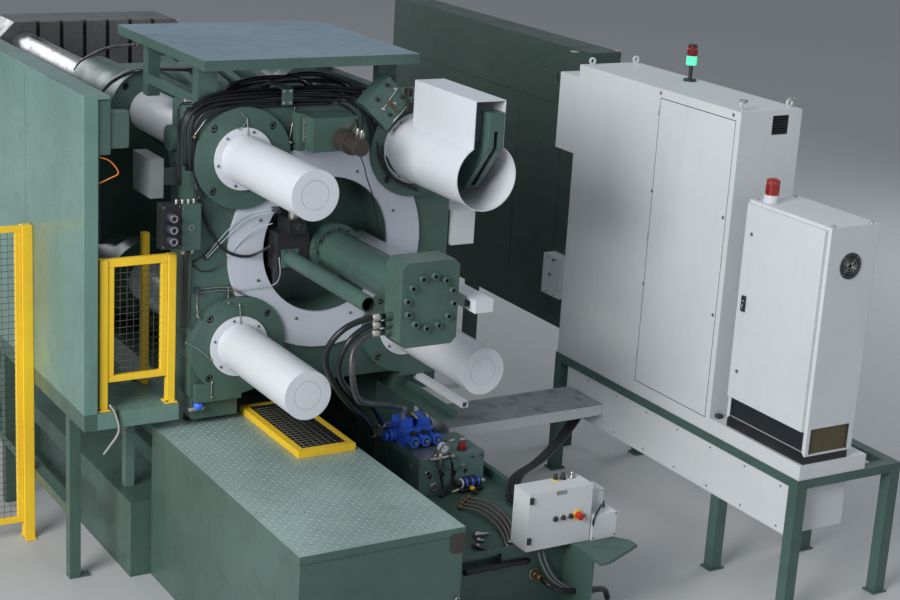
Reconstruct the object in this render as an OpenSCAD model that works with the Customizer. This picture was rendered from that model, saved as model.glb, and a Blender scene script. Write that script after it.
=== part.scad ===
// Cold chamber die casting machine, seen from its clamp end, with guards, oil tank and electrical cabinets.
// Origin: on the floor below the centre of the tail platen's near face.
// +Y runs along the machine to the injection end, +X to the cabinet side, +Z up. Millimetres.

/* [Clamp] */
// Distance between tie bar centres, both ways
tie_pitch = 1170; // [1150:5:1190]
// Diameter of a tie bar
tie_d = 230; // [200:5:240]
// Radius of the round corner bosses of the platens
boss_r = 310; // [300:5:320]
// Depth of the tail platen along the machine
tail_depth = 420; // [410:5:440]
// Near face of the moving platen's corner bosses
moving_y = 1500; // [1480:5:1540]
// Length of the moving platen's corner bosses
moving_len = 950; // [920:5:980]
// Near face of the fixed platen
fixed_y = 4150; // [4100:10:4300]
// Thickness of the fixed platen
fixed_t = 450; // [400:10:500]
// Distance between the T-slots of the fixed platen
tslot_pitch = 190; // [170:5:200]
// Height above the centre line of the toggle's platen pins
toggle_pin_h = 650; // [640:5:660]
// Length of a toggle link between its pins
toggle_link = 450; // [440:5:460]

/* [Covers] */
// Inner radius of the white ring cover
ring_r_in = 430; // [410:5:450]
// Outer radius of the white ring cover
ring_r_out = 660; // [640:5:680]
// Radius of a closed tie bar cover
cover_r = 146; // [140:1:160]
// Radius of a cover's flange
cover_flange_r = 190; // [180:1:200]
// Length of a closed tie bar cover
cover_len = 960; // [800:10:1100]
// Radius of the open tie bar cover
tube_r = 204; // [195:1:215]
// Length of the open tie bar cover
tube_len = 855; // [820:5:900]
// Width of the puller housing on the open cover
housing_w = 206; // [190:2:220]

/* [Cylinder] */
// Radius of the clamp cylinder's barrel
barrel_r = 118; // [110:1:130]
// Radius of the clamp cylinder's flange
cyl_flange_r = 165; // [155:1:175]
// Distance of the cylinder's end block from the platen face
end_block_y = 1080; // [1000:10:1200]
// Depth of the end block
end_block_t = 191; // [150:1:230]
// Width of the end block
end_block_w = 370; // [340:2:400]
// Outer radius of the return pipe
pipe_r = 48; // [44:1:52]

/* [Base] */
// Height of the machine base
base_h = 500; // [480:5:520]
// Height of the bed ways on the base
way_h = 665; // [655:5:675]
// Half width of the machine base
base_half_w = 1210; // [1180:5:1230]
// Far end of the machine base
base_end = 6900; // [6800:20:7200]
// Gap between the platens' feet line and the top of the oil tank
tank_gap = 165; // [150:5:180]
// Length of the oil tank
tank_len = 2085; // [2000:5:2150]
// Width of the oil tank
tank_w = 1010; // [950:5:1020]

/* [Guards] */
// Distance of the operator guard's outer face from the centre line
guard_x = 1561; // [1540:1:1600]
// Height of the operator guard's bottom edge above the bed ways
guard_lift = 9; // [5:1:15]
// Top of the operator guard
guard_top = 3083; // [3000:1:3150]
// Far end of the operator guard
guard_end = 4300; // [4200:10:4400]
// Far end of the helper guard
helper_end = 3960; // [3900:10:4050]
// Distance of the helper guard's inner face from the centre line
helper_x = 2600; // [2600:5:2650]
// Height of the mesh barrier
barrier_h = 936; // [900:2:1000]

/* [Cabinets] */
// Distance of the cabinet fronts from the centre line
cab_x = 2293; // [2250:1:2330]
// Width of the large cabinet
cab_w = 1770; // [1700:5:1800]
// Height of the large cabinet
cab_h = 2120; // [2000:5:2200]
// Depth of the large cabinet
cab_d = 495; // [450:5:520]
// Width of the small cabinet
small_w = 756; // [700:2:800]
// Height of the small cabinet
small_h = 1445; // [1400:5:1500]
// Depth of the small cabinet
small_d = 400; // [380:5:450]
// Height of the cabinet stand
stand_h = 905; // [880:5:930]
// Width of the control box
ctrl_w = 458; // [440:2:470]
// Height of the control box
ctrl_h = 370; // [360:5:380]

/* [Hidden] */
$fn = 48;

machine_green = [0.34, 0.47, 0.41];
dark_green = [0.22, 0.31, 0.28];
cover_white = [0.87, 0.88, 0.88];
cabinet_grey = [0.78, 0.79, 0.80];
steel_grey = [0.62, 0.63, 0.65];
dark_grey = [0.22, 0.22, 0.23];
safety_yellow = [0.98, 0.80, 0.16];
valve_blue = [0.12, 0.28, 0.72];
hose_black = [0.10, 0.10, 0.11];

half = tie_pitch / 2;
tie_r = tie_d / 2;
fit = 0.4;
way_in = half - 25;
way_out = half + 275;
plate_front = 45;
plate_back = 380;
platen_half = half + boss_r;
way_top = base_h + way_h;
centre_h = way_top + platen_half + 30;
tank_h = way_top - tank_gap;
guard_bottom = way_top + guard_lift;
tank_right = -72;
tank_near = -1914;
tank_far = tank_near + tank_len;
pin_r = 80;
tail_pin_y = 880;
moving_pin_y = 1539;
elbow_y = (tail_pin_y + moving_pin_y) / 2;
elbow_h = toggle_pin_h - sqrt(pow(toggle_link, 2) - pow(elbow_y - tail_pin_y, 2));
link_x = 160;
link_w = 130;
link_r = 118;
cab_near = -1060;
cab_far = cab_near + cab_w;
small_near = -1954;
helper_near = 1010;
plinth_top = stand_h + 100;
duct_bottom = 515;
seat = 0.3;
ctrl_lo = [675, -1402, base_h];
gear_lo = [-215, -170, centre_h + 635];
gear_hi = [85, plate_front, centre_h + 840];
ctrl_d = 150;
hose_port_z = [-85, -130, -178];
hose_r = 18;
fitting_r = 20;
port = [-231, -end_block_y - 95, centre_h];
left_elbow = [515, 230, base_h + 170];
middle_elbow = [535, 130, base_h + 265];
right_elbow = [640, 60, base_h + 405];
hose_left_via = [[-365, -1175, 2005], [-505, -1155, 1945], [-575, -1105, 1800], [-470, -1020, 1590],
  [-205, -740, 1325], [150, -350, 1030]];
hose_middle_via = [[-345, -1175, 1960], [-460, -1180, 1890], [-500, -1140, 1750], [-410, -1020, 1580],
  [-180, -780, 1380], [100, -490, 1200]];
hose_right_via = [[-345, -1175, 1912], [-445, -1195, 1830], [-455, -1235, 1690], [-380, -1165, 1510],
  [-130, -870, 1360], [180, -530, 1200]];

// Solid box between two opposite corners
module block(lo, hi) translate(lo) cube(hi - lo);

// Outline drawn in the X-Z plane, extruded along Y from y0 to y1
module along_y(y0, y1) translate([0, y1, 0]) rotate([90, 0, 0]) linear_extrude(y1 - y0) children();

// Outline drawn in the Y-Z plane, extruded along X from x0 to x1
module along_x(x0, x1) translate([x0, 0, 0]) rotate([90, 0, 90]) linear_extrude(x1 - x0) children();

// Round bar along Y
module rod_y(r, y0, y1) translate([0, y0, 0]) rotate([-90, 0, 0]) cylinder(h = y1 - y0, r = r);

// Round bar along X
module rod_x(r, x0, x1) translate([x0, 0, 0]) rotate([0, 90, 0]) cylinder(h = x1 - x0, r = r);

// Tube along Y
module tube_y(r_out, r_in, y0, y1) difference() {
  rod_y(r_out, y0, y1);
  rod_y(r_in, y0 - 1, y1 + 1);
}

// Places its children on the machine centre line
module at_centre() translate([0, 0, centre_h]) children();

// Repeats its children at the four tie bars
module at_tie_bars() for (sx = [-1, 1], sz = [-1, 1])
  translate([sx * half, 0, centre_h + sz * half]) children();

// Outline of a rectangle with round corners, centred
module round_rect(w, h, r) {
  square([w - 2 * r, h], center = true);
  square([w, h - 2 * r], center = true);
  for (sx = [-1, 1], sz = [-1, 1]) translate([sx * (w / 2 - r), sz * (h / 2 - r)]) circle(r);
}

// Outline of a rectangle with cut corners, centred
module cut_rect(w, h, c) polygon([
  [-w / 2 + c, -h / 2], [w / 2 - c, -h / 2], [w / 2, -h / 2 + c], [w / 2, h / 2 - c],
  [w / 2 - c, h / 2], [-w / 2 + c, h / 2], [-w / 2, h / 2 - c], [-w / 2, -h / 2 + c]]);

// Bores for the four tie bars
module tie_bores(y0, y1) at_tie_bars() rod_y(tie_r + fit, y0, y1);

// Swept round tube through hand-picked points
function unit(v) = v / norm(v);
function fitting_end(corner, from) = corner - 60 * unit(corner - from);
function tangent(p, i) = unit(p[min(i + 1, len(p) - 1)] - p[max(i - 1, 0)]);
function side_of(t) = unit(cross(t, abs(t.z) > 0.9 ? [0, 1, 0] : [0, 0, 1]));
function ring_at(p, i, r, n, s) = let (t = tangent(p, i), a = unit(s - t * (s * t)), b = cross(t, a))
  [for (k = [0 : n - 1]) p[i] + r * cos(360 * k / n) * a + r * sin(360 * k / n) * b];
function frames(p, i, s) = i >= len(p) ? [] :
  let (t = tangent(p, i), a = unit(s - t * (s * t))) concat([a], frames(p, i + 1, a));
function bezier(a, b, c, t) = pow(1 - t, 2) * a + 2 * t * (1 - t) * b + pow(t, 2) * c;
// Smooth route through corner points: straight runs joined by curves at each inner point
function smooth(p, n) = concat([p[0]], [for (i = [1 : len(p) - 2], k = [0 : n])
  bezier((p[i - 1] + p[i]) / 2, p[i], (p[i] + p[i + 1]) / 2, k / n)], [p[len(p) - 1]]);
function no_twins(p) = [for (i = [0 : len(p) - 1]) if (i == 0 || norm(p[i] - p[max(i - 1, 0)]) > 1) p[i]];
module sweep(points, r, n = 8) {
  p = no_twins(points);
  s = frames(p, 0, side_of(tangent(p, 0)));
  m = len(p);
  polyhedron(
    points = [for (i = [0 : m - 1]) each ring_at(p, i, r, n, s[i])],
    faces = concat([[for (k = [0 : n - 1]) k]],
      [for (i = [0 : m - 2], k = [0 : n - 1])
        [i * n + k, (i + 1) * n + k, (i + 1) * n + (k + 1) % n, i * n + (k + 1) % n]],
      [[for (k = [n - 1 : -1 : 0]) (m - 1) * n + k]]));
}

// Welded base under the whole machine, with a low rim, a groove below its near edge and a corner bracket
module base_frame() color(machine_green) {
  near = -1340;
  notch_y = tank_far - 6;
  tank_side = tank_right - 6;
  rim_h = 60;
  rim_t = 40;
  plate = 20;
  difference() {
    union() {
      block([tank_side, near, 0], [base_half_w, base_end, base_h]);
      block([-base_half_w, notch_y, 0], [base_half_w, base_end, base_h]);
    }
    block([tank_side + rim_t, near + rim_t, base_h - rim_h],
      [base_half_w - rim_t, plate_front, base_h + 1]);
    block([tank_side - 1, near - 1, base_h - 95], [560, near + 50, base_h - plate]);
    for (y = [1200 : 1400 : 5400]) block([-base_half_w - 1, y, 120], [-base_half_w + 60, y + 900, 380]);
    for (y = [1200 : 1400 : 5400]) block([base_half_w - 60, y, 120], [base_half_w + 1, y + 900, 380]);
  }
  linear_extrude_at(base_h - plate, base_h) polygon([[1010, near], [base_half_w, near], [1372, -1520],
    [1372, -1600], [1080, -1730], [1010, -1730]]);
  block([1010, -1640, 0], [1010 + plate, near, base_h - plate]);
}

// Two bed ways that carry the platens
module bed_ways() color(machine_green) for (s = [-1, 1]) {
  near = s < 0 ? tank_far + 30 : 300;
  x0 = s < 0 ? -way_out : way_in;
  difference() {
    union() {
      block([x0, near, base_h], [x0 + way_out - way_in, fixed_y + fixed_t, way_top]);
      block([x0, 60, way_top - 125], [x0 + way_out - way_in, near, way_top]);
    }
    for (y = [560 : 720 : 3700], face = [-1, 1])
      translate([s * (way_in + way_out) / 2 + face * 130, y + 260, (base_h + way_top) / 2 - 30])
        cube([120, 520, 380], center = true);
  }
}

// Oil tank with a chequer plate top, a manhole rim in the end and bent top edges
module oil_tank() color(machine_green) {
  lo = [tank_right - tank_w, tank_near, 0];
  difference() {
    union() {
      block(lo + [6, 6, 0], [tank_right - 6, tank_far - 6, tank_h - 6]);
      block([lo.x, lo.y, tank_h - 46], [tank_right, tank_far, tank_h]);
    }
    translate([tank_right - 130, tank_near, 300]) rod_y(70, -1, 60);
  }
  translate([tank_right - 130, tank_near, 300]) tube_y(78, 70, -6, 20);
}

// Yellow framed grating on the tank top
module tank_grating() {
  w = 380;
  l = 900;
  x0 = -490;
  y0 = -680;
  bar = 45;
  color(safety_yellow) difference() {
    block([x0, y0, tank_h], [x0 + w, y0 + l - 50, tank_h + bar]);
    block([x0 + bar, y0 + bar, tank_h - 1], [x0 + w - bar, y0 + l - 50 - bar, tank_h + bar + 1]);
  }
  color(dark_grey) block([x0 + bar, y0 + bar, tank_h], [x0 + w - bar, y0 + l - 50 - bar, tank_h + 12]);
}

// Tail platen: plate with four round bosses, a deep central recess, feet, toggle lugs and lifting studs
module tail_platen() color(machine_green) difference() {
  union() {
    at_centre() along_y(plate_front, plate_back) square([2 * platen_half - 20, 2 * platen_half], center = true);
    at_tie_bars() rod_y(boss_r, 0, tail_depth);
    for (s = [-1, 1]) block([s < 0 ? -way_out : way_in, 0, way_top],
      [s < 0 ? -way_in : way_out, tail_depth - 60, centre_h - platen_half + 90]);
    for (sx = [-1, 1], sz = [-1, 1]) translate([0, 0, centre_h + sz * toggle_pin_h])
      for (side = [-1, 1]) toggle_lug(sx * link_x + side * (link_w / 2 + 36), 60, plate_back - 10, tail_pin_y);
    translate([0, plate_back - 70, centre_h + half + 80]) rod_x(80, -platen_half - 42, platen_half + 42);
  }
  at_centre() rod_y(ring_r_in, -1, plate_back - 80);
  at_centre() rod_y(70, -1, tail_depth + 1);
  tie_bores(-1, tail_depth + 1);
  boss_bolts(boss_r - 42, -1);
}

// Recesses for the four large screws in each round boss
module boss_bolts(r, y) for (sx = [-1, 1], sz = [-1, 1]) translate([sx * half, 0, centre_h + sz * half])
  for (a = [45 : 90 : 315]) rotate([0, a, 0]) translate([r, 0, 0]) rod_y(24, y, y + 41);

// Lug plate with a pin hole, reaching from a platen face to the pin
module toggle_lug(x, t, from_y, pin_y) along_x(x - t / 2, x + t / 2) difference() {
  union() {
    translate([pin_y, 0]) circle(link_r);
    polygon([[from_y, -200], [from_y, 200], [pin_y, link_r], [pin_y, -link_r]]);
  }
  translate([pin_y, 0]) circle(pin_r + fit);
}

// White sheet ring around the central recess, cut away at the bosses
module ring_cover() color(cover_white) difference() {
  at_centre() tube_y(ring_r_out, ring_r_in + 2, plate_front - 25, plate_front);
  at_tie_bars() rod_y(boss_r + 2, -1, tail_depth);
  block([gear_lo.x - 42, gear_lo.y, gear_lo.z - 12], [gear_hi.x + 2, plate_front + 1, gear_hi.z]);
}

// Clamp cylinder: hub in the recess, bolted flange and barrel
module clamp_cylinder() color(machine_green) at_centre() {
  rod_y(150, -62, plate_back - 80);
  rod_y(cyl_flange_r, -110, -60);
  rod_y(barrel_r, -end_block_y, -110);
  rod_y(barrel_r + 14, -end_block_y, -end_block_y + 60);
}

// End block of the clamp cylinder, with cut corners and a bolted front
module cylinder_end_block() color(machine_green) at_centre() {
  h = 497;
  front = -end_block_y - end_block_t;
  translate([0, 0, -8]) along_y(front, -end_block_y) cut_rect(end_block_w, h, 34);
  for (z = hose_port_z) translate([-end_block_w / 2, -end_block_y - 95, z]) rod_x(fitting_r, -46, 0);
}

// Return pipe beside the barrel, open at its near end, with a square flange
module return_pipe() color(machine_green) translate([-300, 0, centre_h - 30]) {
  tube_y(pipe_r, pipe_r - 8, -1105, -97);
  difference() {
    translate([0, -87, 0]) cube([112, 20, 112], center = true);
    rod_y(pipe_r - 8, -120, -70);
  }
  for (sx = [-1, 1], sz = [-1, 1]) translate([sx * 40, 0, sz * 40]) rod_y(9, -107, -97);
}

// Dark valve body behind the return pipe's flange
module prefill_block() color(dark_grey) block([-385, -77, centre_h - 110],
  [-cyl_flange_r - 2, plate_back - 80, centre_h + 130]);

// Pilot valve with a bright head on top of the dark valve body
module pilot_valve() {
  top = centre_h + 130;
  color(dark_grey) block([-330, -120, top], [-215, 40, top + 90]);
  color(steel_grey) translate([-272, -60, top + 90]) cylinder(h = 60, r = 34);
  color(steel_grey) translate([-272, -60, top + 150]) cylinder(h = 18, r = 42);
  color(dark_grey) translate([-272, -120, top + 45]) rod_y(30, -70, 0);
}

// White guide rail right of the cylinder: a downward channel with a window near its end
module guide_rail() color(cover_white) {
  x0 = 280;
  x1 = 400;
  z1 = centre_h - 10;
  h = 76;
  near = -1310;
  difference() {
    block([x0, near, z1 - h], [x1, plate_back - 80, z1]);
    block([x0 + 5, near + 120, z1 - h - 1], [x1 - 5, plate_back - 90, z1 - 5]);
    block([x0 - 1, near + 60, z1 - h + 10], [x0 + 60, near + 130, z1 - 18]);
  }
}

// Four tie bars with end nuts on the fixed platen
module tie_bars() color(steel_grey) difference() {
  at_tie_bars() {
    rod_y(tie_r, 0, fixed_y + fixed_t + 260);
    rod_y(tie_r + 65, fixed_y + fixed_t, fixed_y + fixed_t + 190);
  }
  for (sx = [-1, 1]) translate([sx * half, 0, centre_h + half])
    block([-24, 2600, tie_r - 30], [24, 3980, tie_r + 1]);
}

// White sleeves on the tie bars between tail platen and moving platen
module tie_bar_sleeves() color(cover_white) at_tie_bars()
  tube_y(cover_r - 4, tie_r + 1, tail_depth, moving_y);

// Closed tie bar cover: flange, barrel and end disc with a shallow ring
module closed_cover(sx, sz) color(cover_white) translate([sx * half, 0, centre_h + sz * half]) difference() {
  union() {
    rod_y(cover_flange_r, -14, 0);
    rod_y(cover_r, -cover_len, 0);
  }
  translate([0, -cover_len, 0]) tube_y(86, 82, -1, 2);
}
module bar_covers() for (place = [[-1, 1], [-1, -1], [1, -1]]) closed_cover(place.x, place.y);

// Open tie bar cover at the upper right, with the puller housing on top
module puller_cover() color(cover_white) translate([half, 0, centre_h + half]) {
  wall = 5;
  slot_near = -tube_len;
  box_top = 458;
  box_far = -135;
  difference() {
    union() {
      rod_y(tube_r, -tube_len, 0);
      rod_y(tube_r + 22, -14, 0);
      block([-housing_w / 2, slot_near, 120], [housing_w / 2, box_far, box_top]);
    }
    rod_y(tube_r - wall, -tube_len - 1, 1);
    block([-housing_w / 2 + wall, slot_near - 1, 100], [housing_w / 2 - wall, box_far - wall, box_top - wall]);
  }
}

// Bent puller arm in the open cover, from the tie bar's end up to its head at the cover's mouth
module puller_arm() color(machine_green) translate([half, 0, centre_h + half]) {
  rod_y(tie_r, -80, 0);
  difference() {
    along_x(-20, 80) polygon([[-885, 390], [-790, 390], [-790, 230], [-570, -20], [-80, -20],
      [-80, -115], [-640, -115], [-885, 185]]);
    block([15, -886, -90], [45, -100, 280]);
  }
}

// Moving platen: plate with round corners, four long corner bosses, feet and toggle lugs
module moving_platen() color(machine_green) difference() {
  plate_y = moving_y + moving_len - 400;
  union() {
    at_centre() along_y(plate_y, moving_y + moving_len) round_rect(tie_pitch + 300, tie_pitch + 300, 190);
    at_tie_bars() {
      rod_y(277, moving_y, moving_y + 150);
      rod_y(195, moving_y, moving_y + moving_len + 60);
    }
    for (s = [-1, 1]) block([s < 0 ? -way_out : way_in, plate_y - 250, way_top],
      [s < 0 ? -way_in : way_out, moving_y + moving_len - 20, centre_h - half - 90]);
    for (sx = [-1, 1], sz = [-1, 1]) translate([0, 0, centre_h + sz * toggle_pin_h])
      for (side = [-1, 1]) toggle_lug(sx * link_x + side * (link_w / 2 + 36), 60, plate_y + 10, moving_pin_y);
  }
  translate([0, moving_y, 0]) tie_bores(-1, moving_len + 62);
  boss_bolts(240, moving_y - 1);
}

// Point on the line between two points of an outline
function between(a, b, t) = a + t * (b - a);

// Straight bar between two points of an outline
module bar(a, b, w) translate(a) rotate(atan2(b.y - a.y, b.x - a.x)) translate([0, -w / 2])
  square([norm(b - a), w]);

// Links from the tail platen to the elbows, with the platen pins
module tail_links() color(dark_green) for (s = [-1, 1], sz = [-1, 1]) translate([0, 0, centre_h]) {
  a = [tail_pin_y, sz * toggle_pin_h];
  b = [elbow_y, sz * elbow_h];
  along_x(s * link_x - link_w / 2, s * link_x + link_w / 2) difference() {
    union() {
      translate(a) circle(link_r);
      translate(b) circle(link_r);
      bar(a, b, 170);
    }
    translate(b) circle(pin_r + fit);
  }
  translate([s * link_x, a.x, a.y]) {
    rod_x(pin_r, -link_w / 2 - 80, link_w / 2 + 80);
    rod_x(pin_r + 20, link_w / 2 + 67, link_w / 2 + 88);
    rod_x(pin_r + 20, -link_w / 2 - 88, -link_w / 2 - 67);
  }
}

// Forked links from the elbows to the moving platen, with the elbow and platen pins
module platen_links() color(machine_green) for (s = [-1, 1], sz = [-1, 1]) translate([0, 0, centre_h]) {
  a = [elbow_y, sz * elbow_h];
  b = [moving_pin_y, sz * toggle_pin_h];
  fork = 60;
  out = link_w / 2 + 2 + fork;
  for (side = [-1, 1]) translate([s * link_x + side * (out - fork / 2), 0, 0])
    along_x(-fork / 2, fork / 2) {
      translate(a) circle(link_r);
      bar(a, between(a, b, 0.64), 170);
    }
  translate([s * link_x, 0, 0]) {
    along_x(-out, out) bar(between(a, b, 0.5), between(a, b, 0.64), 170);
    along_x(-link_w / 2, link_w / 2) {
      bar(between(a, b, 0.5), b, 170);
      translate(b) circle(link_r);
    }
  }
  translate([s * link_x, a.x, a.y]) rod_x(pin_r, -out, out);
  translate([s * link_x, b.x, b.y]) rod_x(pin_r, -link_w / 2 - 70, link_w / 2 + 70);
}

// Crosshead on the piston rod
module crosshead() {
  y0 = 1080;
  color(dark_green) difference() {
    block([-330, y0, centre_h - 150], [330, y0 + 200, centre_h + 150]);
    for (s = [-1, 1]) block([s * link_x - 50, y0 - 1, centre_h - 160], [s * link_x + 50, y0 + 70, centre_h + 160]);
  }
  color(steel_grey) at_centre() rod_y(60, plate_back - 80, y0);
}

// Fixed platen with vertical T-slots
module fixed_platen() color(steel_grey) difference() {
  size = 2 * (half + tie_r + 75);
  union() {
    at_centre() along_y(fixed_y, fixed_y + fixed_t) cut_rect(size, size, 110);
    for (s = [-1, 1]) block([s < 0 ? -way_out : way_in, fixed_y + 30, way_top],
      [s < 0 ? -way_in : way_out, fixed_y + fixed_t - 30, centre_h - half - 120]);
  }
  tie_bores(fixed_y - 1, fixed_y + fixed_t + 1);
  for (i = [-2.5 : 2.5]) translate([i * tslot_pitch, fixed_y, centre_h]) {
    cube([34, 90, size + 2], center = true);
    translate([0, 38, 0]) cube([64, 26, size + 2], center = true);
  }
  at_centre() translate([0, 0, -200]) rod_y(90, fixed_y - 1, fixed_y + fixed_t + 1);
}

// Injection frame: two side beams and a back plate behind the fixed platen
module injection_frame() color(machine_green) {
  y0 = fixed_y + fixed_t;
  for (s = [-1, 1]) block([s < 0 ? -390 : 250, y0, base_h], [s < 0 ? -250 : 390, y0 + 1500, base_h + 1250]);
  block([-430, y0 + 1500, base_h], [430, y0 + 1620, base_h + 1620]);
}

// Shot cylinder with its plunger rod and coupling
module shot_cylinder() color(machine_green) translate([0, 0, centre_h - 200]) {
  y0 = fixed_y + fixed_t;
  rod_y(88, y0 - 200, y0 + 60);
  rod_y(62, y0 + 60, y0 + 1120);
  rod_y(110, y0 + 700, y0 + 820);
  rod_y(150, y0 + 1100, y0 + 1500);
}

// Two gas accumulators on the base
module accumulators() color(machine_green) for (x = [620, 1000])
  translate([x, fixed_y + fixed_t + 1200, base_h]) {
    cylinder(h = 60, r = 190);
    cylinder(h = 1750, r = 165);
    translate([0, 0, 1750]) sphere(165);
    translate([0, 0, 1900]) cylinder(h = 90, r = 40);
  }

// Service platform on four legs above the tail platen
module top_platform() color(machine_green) {
  x0 = -918;
  x1 = 490;
  y0 = -165;
  y1 = 1220;
  top = centre_h + 1206;
  t = 6;
  skirt = 60;
  foot = centre_h + platen_half;
  rail_y = plate_back + 470;
  difference() {
    linear_extrude_at(top - skirt, top) polygon([[x0, y0], [x1, y0], [x1, y1 - 130], [x1 - 130, y1], [x0, y1]]);
    block([x0 + t, y0 + t, top - skirt - 1], [x1 - 140, y1 - t, top - t]);
    block([x1 - 150, y0 + t, top - skirt - 1], [x1 - t, y1 - 140, top - t]);
  }
  for (x = [x0 + 60, x1 - 150]) {
    block([x, plate_front + 20, foot], [x + 120, plate_front + 100, top - t]);
    block([x, rail_y, foot - 80], [x + 80, rail_y + 80, top - t]);
    block([x, plate_front + 100, foot], [x + 80, rail_y + 80, foot + 60]);
  }
}

// Round bar between two points
module rod_between(a, b, r) translate(a)
  rotate([0, acos((b - a).z / norm(b - a)), atan2((b - a).y, (b - a).x)]) cylinder(h = norm(b - a), r = r);

// Elbow fitting: stub square to a face, then a length towards the hose
module elbow(face, corner, from) {
  rod_between(face, corner + 0.6 * fitting_r * unit(corner - face), fitting_r);
  rod_between(corner, fitting_end(corner, from), fitting_r);
}

// Outline in the X-Y plane, extruded from z0 to z1
module linear_extrude_at(z0, z1) translate([0, 0, z0]) linear_extrude(z1 - z0) children();

// Gearbox and motor that adjust the die height
module adjusting_motor() {
  color(machine_green) block(gear_lo, gear_hi);
  color(machine_green) block([gear_lo.x - 40, -60, gear_lo.z - 10], [gear_lo.x, plate_front, gear_hi.z + 10]);
  color([0.36, 0.32, 0.29]) translate([-20, 0, gear_lo.z + 70]) {
    rod_y(68, -300, -170);
    rod_y(52, -420, -300);
  }
  color(steel_grey) for (y = [-345, -395]) translate([-10, y, gear_lo.z + 70]) cylinder(h = 85, r = 15);
}

// Valve manifold turned by 45 degrees at the top right of the tail platen
module tilted_manifold() color(machine_green) difference() {
  translate([338, 0, centre_h + 888]) rotate([0, 45, 0]) block([-120, -70, -120], [120, plate_front, 120]);
  at_tie_bars() rod_y(boss_r + fit, 0, tail_depth);
}

// Green terminal box at the tail platen's left edge
module side_terminal_box() color(machine_green) block([-985, -40, centre_h + 60], [-866, plate_front, centre_h + 340]);

// Valve block with knobs left of the terminal box
module side_valve_block() {
  color(dark_grey) block([-1110, -30, centre_h + 75], [-985, plate_front, centre_h + 345]);
  color(steel_grey) for (z = [135, 204, 274]) translate([-1056, 0, centre_h + z]) rod_y(24, -90, -30);
}

// White terminal boxes on brackets: one right of the tail platen, one left of it
module terminal_boxes() color(cover_white) {
  edge = platen_half - 10;
  translate([0, 0, centre_h]) {
    block([edge + 20, 20, -80], [edge + 187, 200, 145]);
    block([edge, 200, -105], [edge + 187, 206, 210]);
    block([-edge - 215, 175, 335], [-edge - 133, 460, 572]);
    block([-edge - 133, 300, 380], [-edge, 306, 485]);
  }
}

// White channel and green drip plate in front of the right foot of the tail platen
module way_channel() {
  near = -580;
  color(cover_white) difference() {
    block([690, near, way_top - 40], [735, 60, way_top]);
    block([694, near - 1, way_top - 36], [731, 56, way_top - 4]);
  }
  color(machine_green) block([535, near, way_top - 110], [656, 60, way_top - 102]);
  color(machine_green) block([648, near, way_top - 110], [656, 60, way_top - 50]);
  color(machine_green) block([656, -60, way_top - 110], [690, 60, way_top - 60]);
}

// Operator guard: sheet panels in a frame, with a top cover and an end post
module operator_guard() color(machine_green) {
  near = 20;
  t = 82;
  bay = (guard_end - near) / 4;
  difference() {
    block([-guard_x, near, guard_bottom], [-guard_x + t, guard_end, guard_top - 20]);
    for (i = [0 : 3]) block([-guard_x + 5, near + i * bay + 60, guard_bottom + 60],
      [-guard_x + t + 1, near + (i + 1) * bay - 60, guard_top - 90]);
    for (i = [1 : 3]) block([-guard_x - 1, near + i * bay - 3, guard_bottom + 20],
      [-guard_x + 4, near + i * bay + 3, guard_top - 60]);
  }
  block([-guard_x, near, guard_top - 20], [-guard_x + 152, guard_end, guard_top]);
}

// Beam and legs under the operator guard
module guard_stand() color(machine_green) {
  leg = 70;
  beam_h = 104;
  block([-guard_x, 20, guard_bottom - beam_h], [-guard_x + 82, guard_end, guard_bottom]);
  block([-guard_x, 300, 420], [-guard_x + leg, guard_end, 480]);
  for (y = [281, 1580, 2880, guard_end - leg]) block([-guard_x, y, 0], [-guard_x + leg, y + leg, guard_bottom - 10]);
}

// Operator step between the guard and the tail platen, with a turned-down edge
module step_platform() color(machine_green) {
  near = 20;
  far = 480;
  x0 = -guard_x + 82;
  x1 = -963;
  top = guard_bottom;
  difference() {
    block([x0, near, top - 104], [x1, far, top]);
    block([x0 - 1, near + 6, top - 105], [x1 - 6, far - 6, top - 6]);
  }
  block([-base_half_w + 57, far - 66, base_h], [-base_half_w + 117, far - 6, top - 6]);
}

// Yellow mesh: the barrier beside the tail platen and one bay of fence beyond the guard
module mesh_fences() {
  mesh_barrier();
  mesh_fence();
}

// Mesh barrier beside the tail platen: two posts, a framed mesh and a short post behind
module mesh_barrier() color(safety_yellow) {
  x0 = -1456;
  x1 = -978;
  y0 = 48;
  y1 = 98;
  low = guard_bottom;
  top = low + barrier_h;
  post = 52;
  for (x = [x0, x1 - post]) {
    block([x, y0, low], [x + post, y1, top]);
    block([x - 14, y0 - 14, low], [x + post + 14, y1 + 14, low + 12]);
  }
  difference() {
    block([x0 + post, y0 + 8, low + 175], [x1 - post, y1 - 8, top]);
    block([x0 + post + 40, y0, low + 215], [x1 - post - 40, y1, top - 50]);
  }
  block([x0 + post + 38, y0 + 22, low + 213], [x1 - post - 38, y0 + 28, top - 48]);
  block([-1056, 400, low], [-1010, 446, low + barrier_h + 45]);
}

// One bay of yellow mesh fence beyond the guard
module mesh_fence() color(safety_yellow) {
  x1 = -guard_x;
  x0 = x1 - 1270;
  y0 = 953;
  top = 2105;
  post = 70;
  for (x = [x0, x1 - post]) {
    block([x, y0, 0], [x + post, y0 + post, top]);
    block([x - 30, y0 - 30, 0], [x + post, y0 + post + 30, 10]);
  }
  difference() {
    block([x0 + post, y0 + 15, 120], [x1 - post, y0 + 45, top]);
    block([x0 + post + 40, y0, 160], [x1 - post - 40, y0 + 60, top - 40]);
  }
  block([x0 + post + 38, y0 + 27, 158], [x1 - post - 38, y0 + 33, top - 38]);
}

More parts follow.
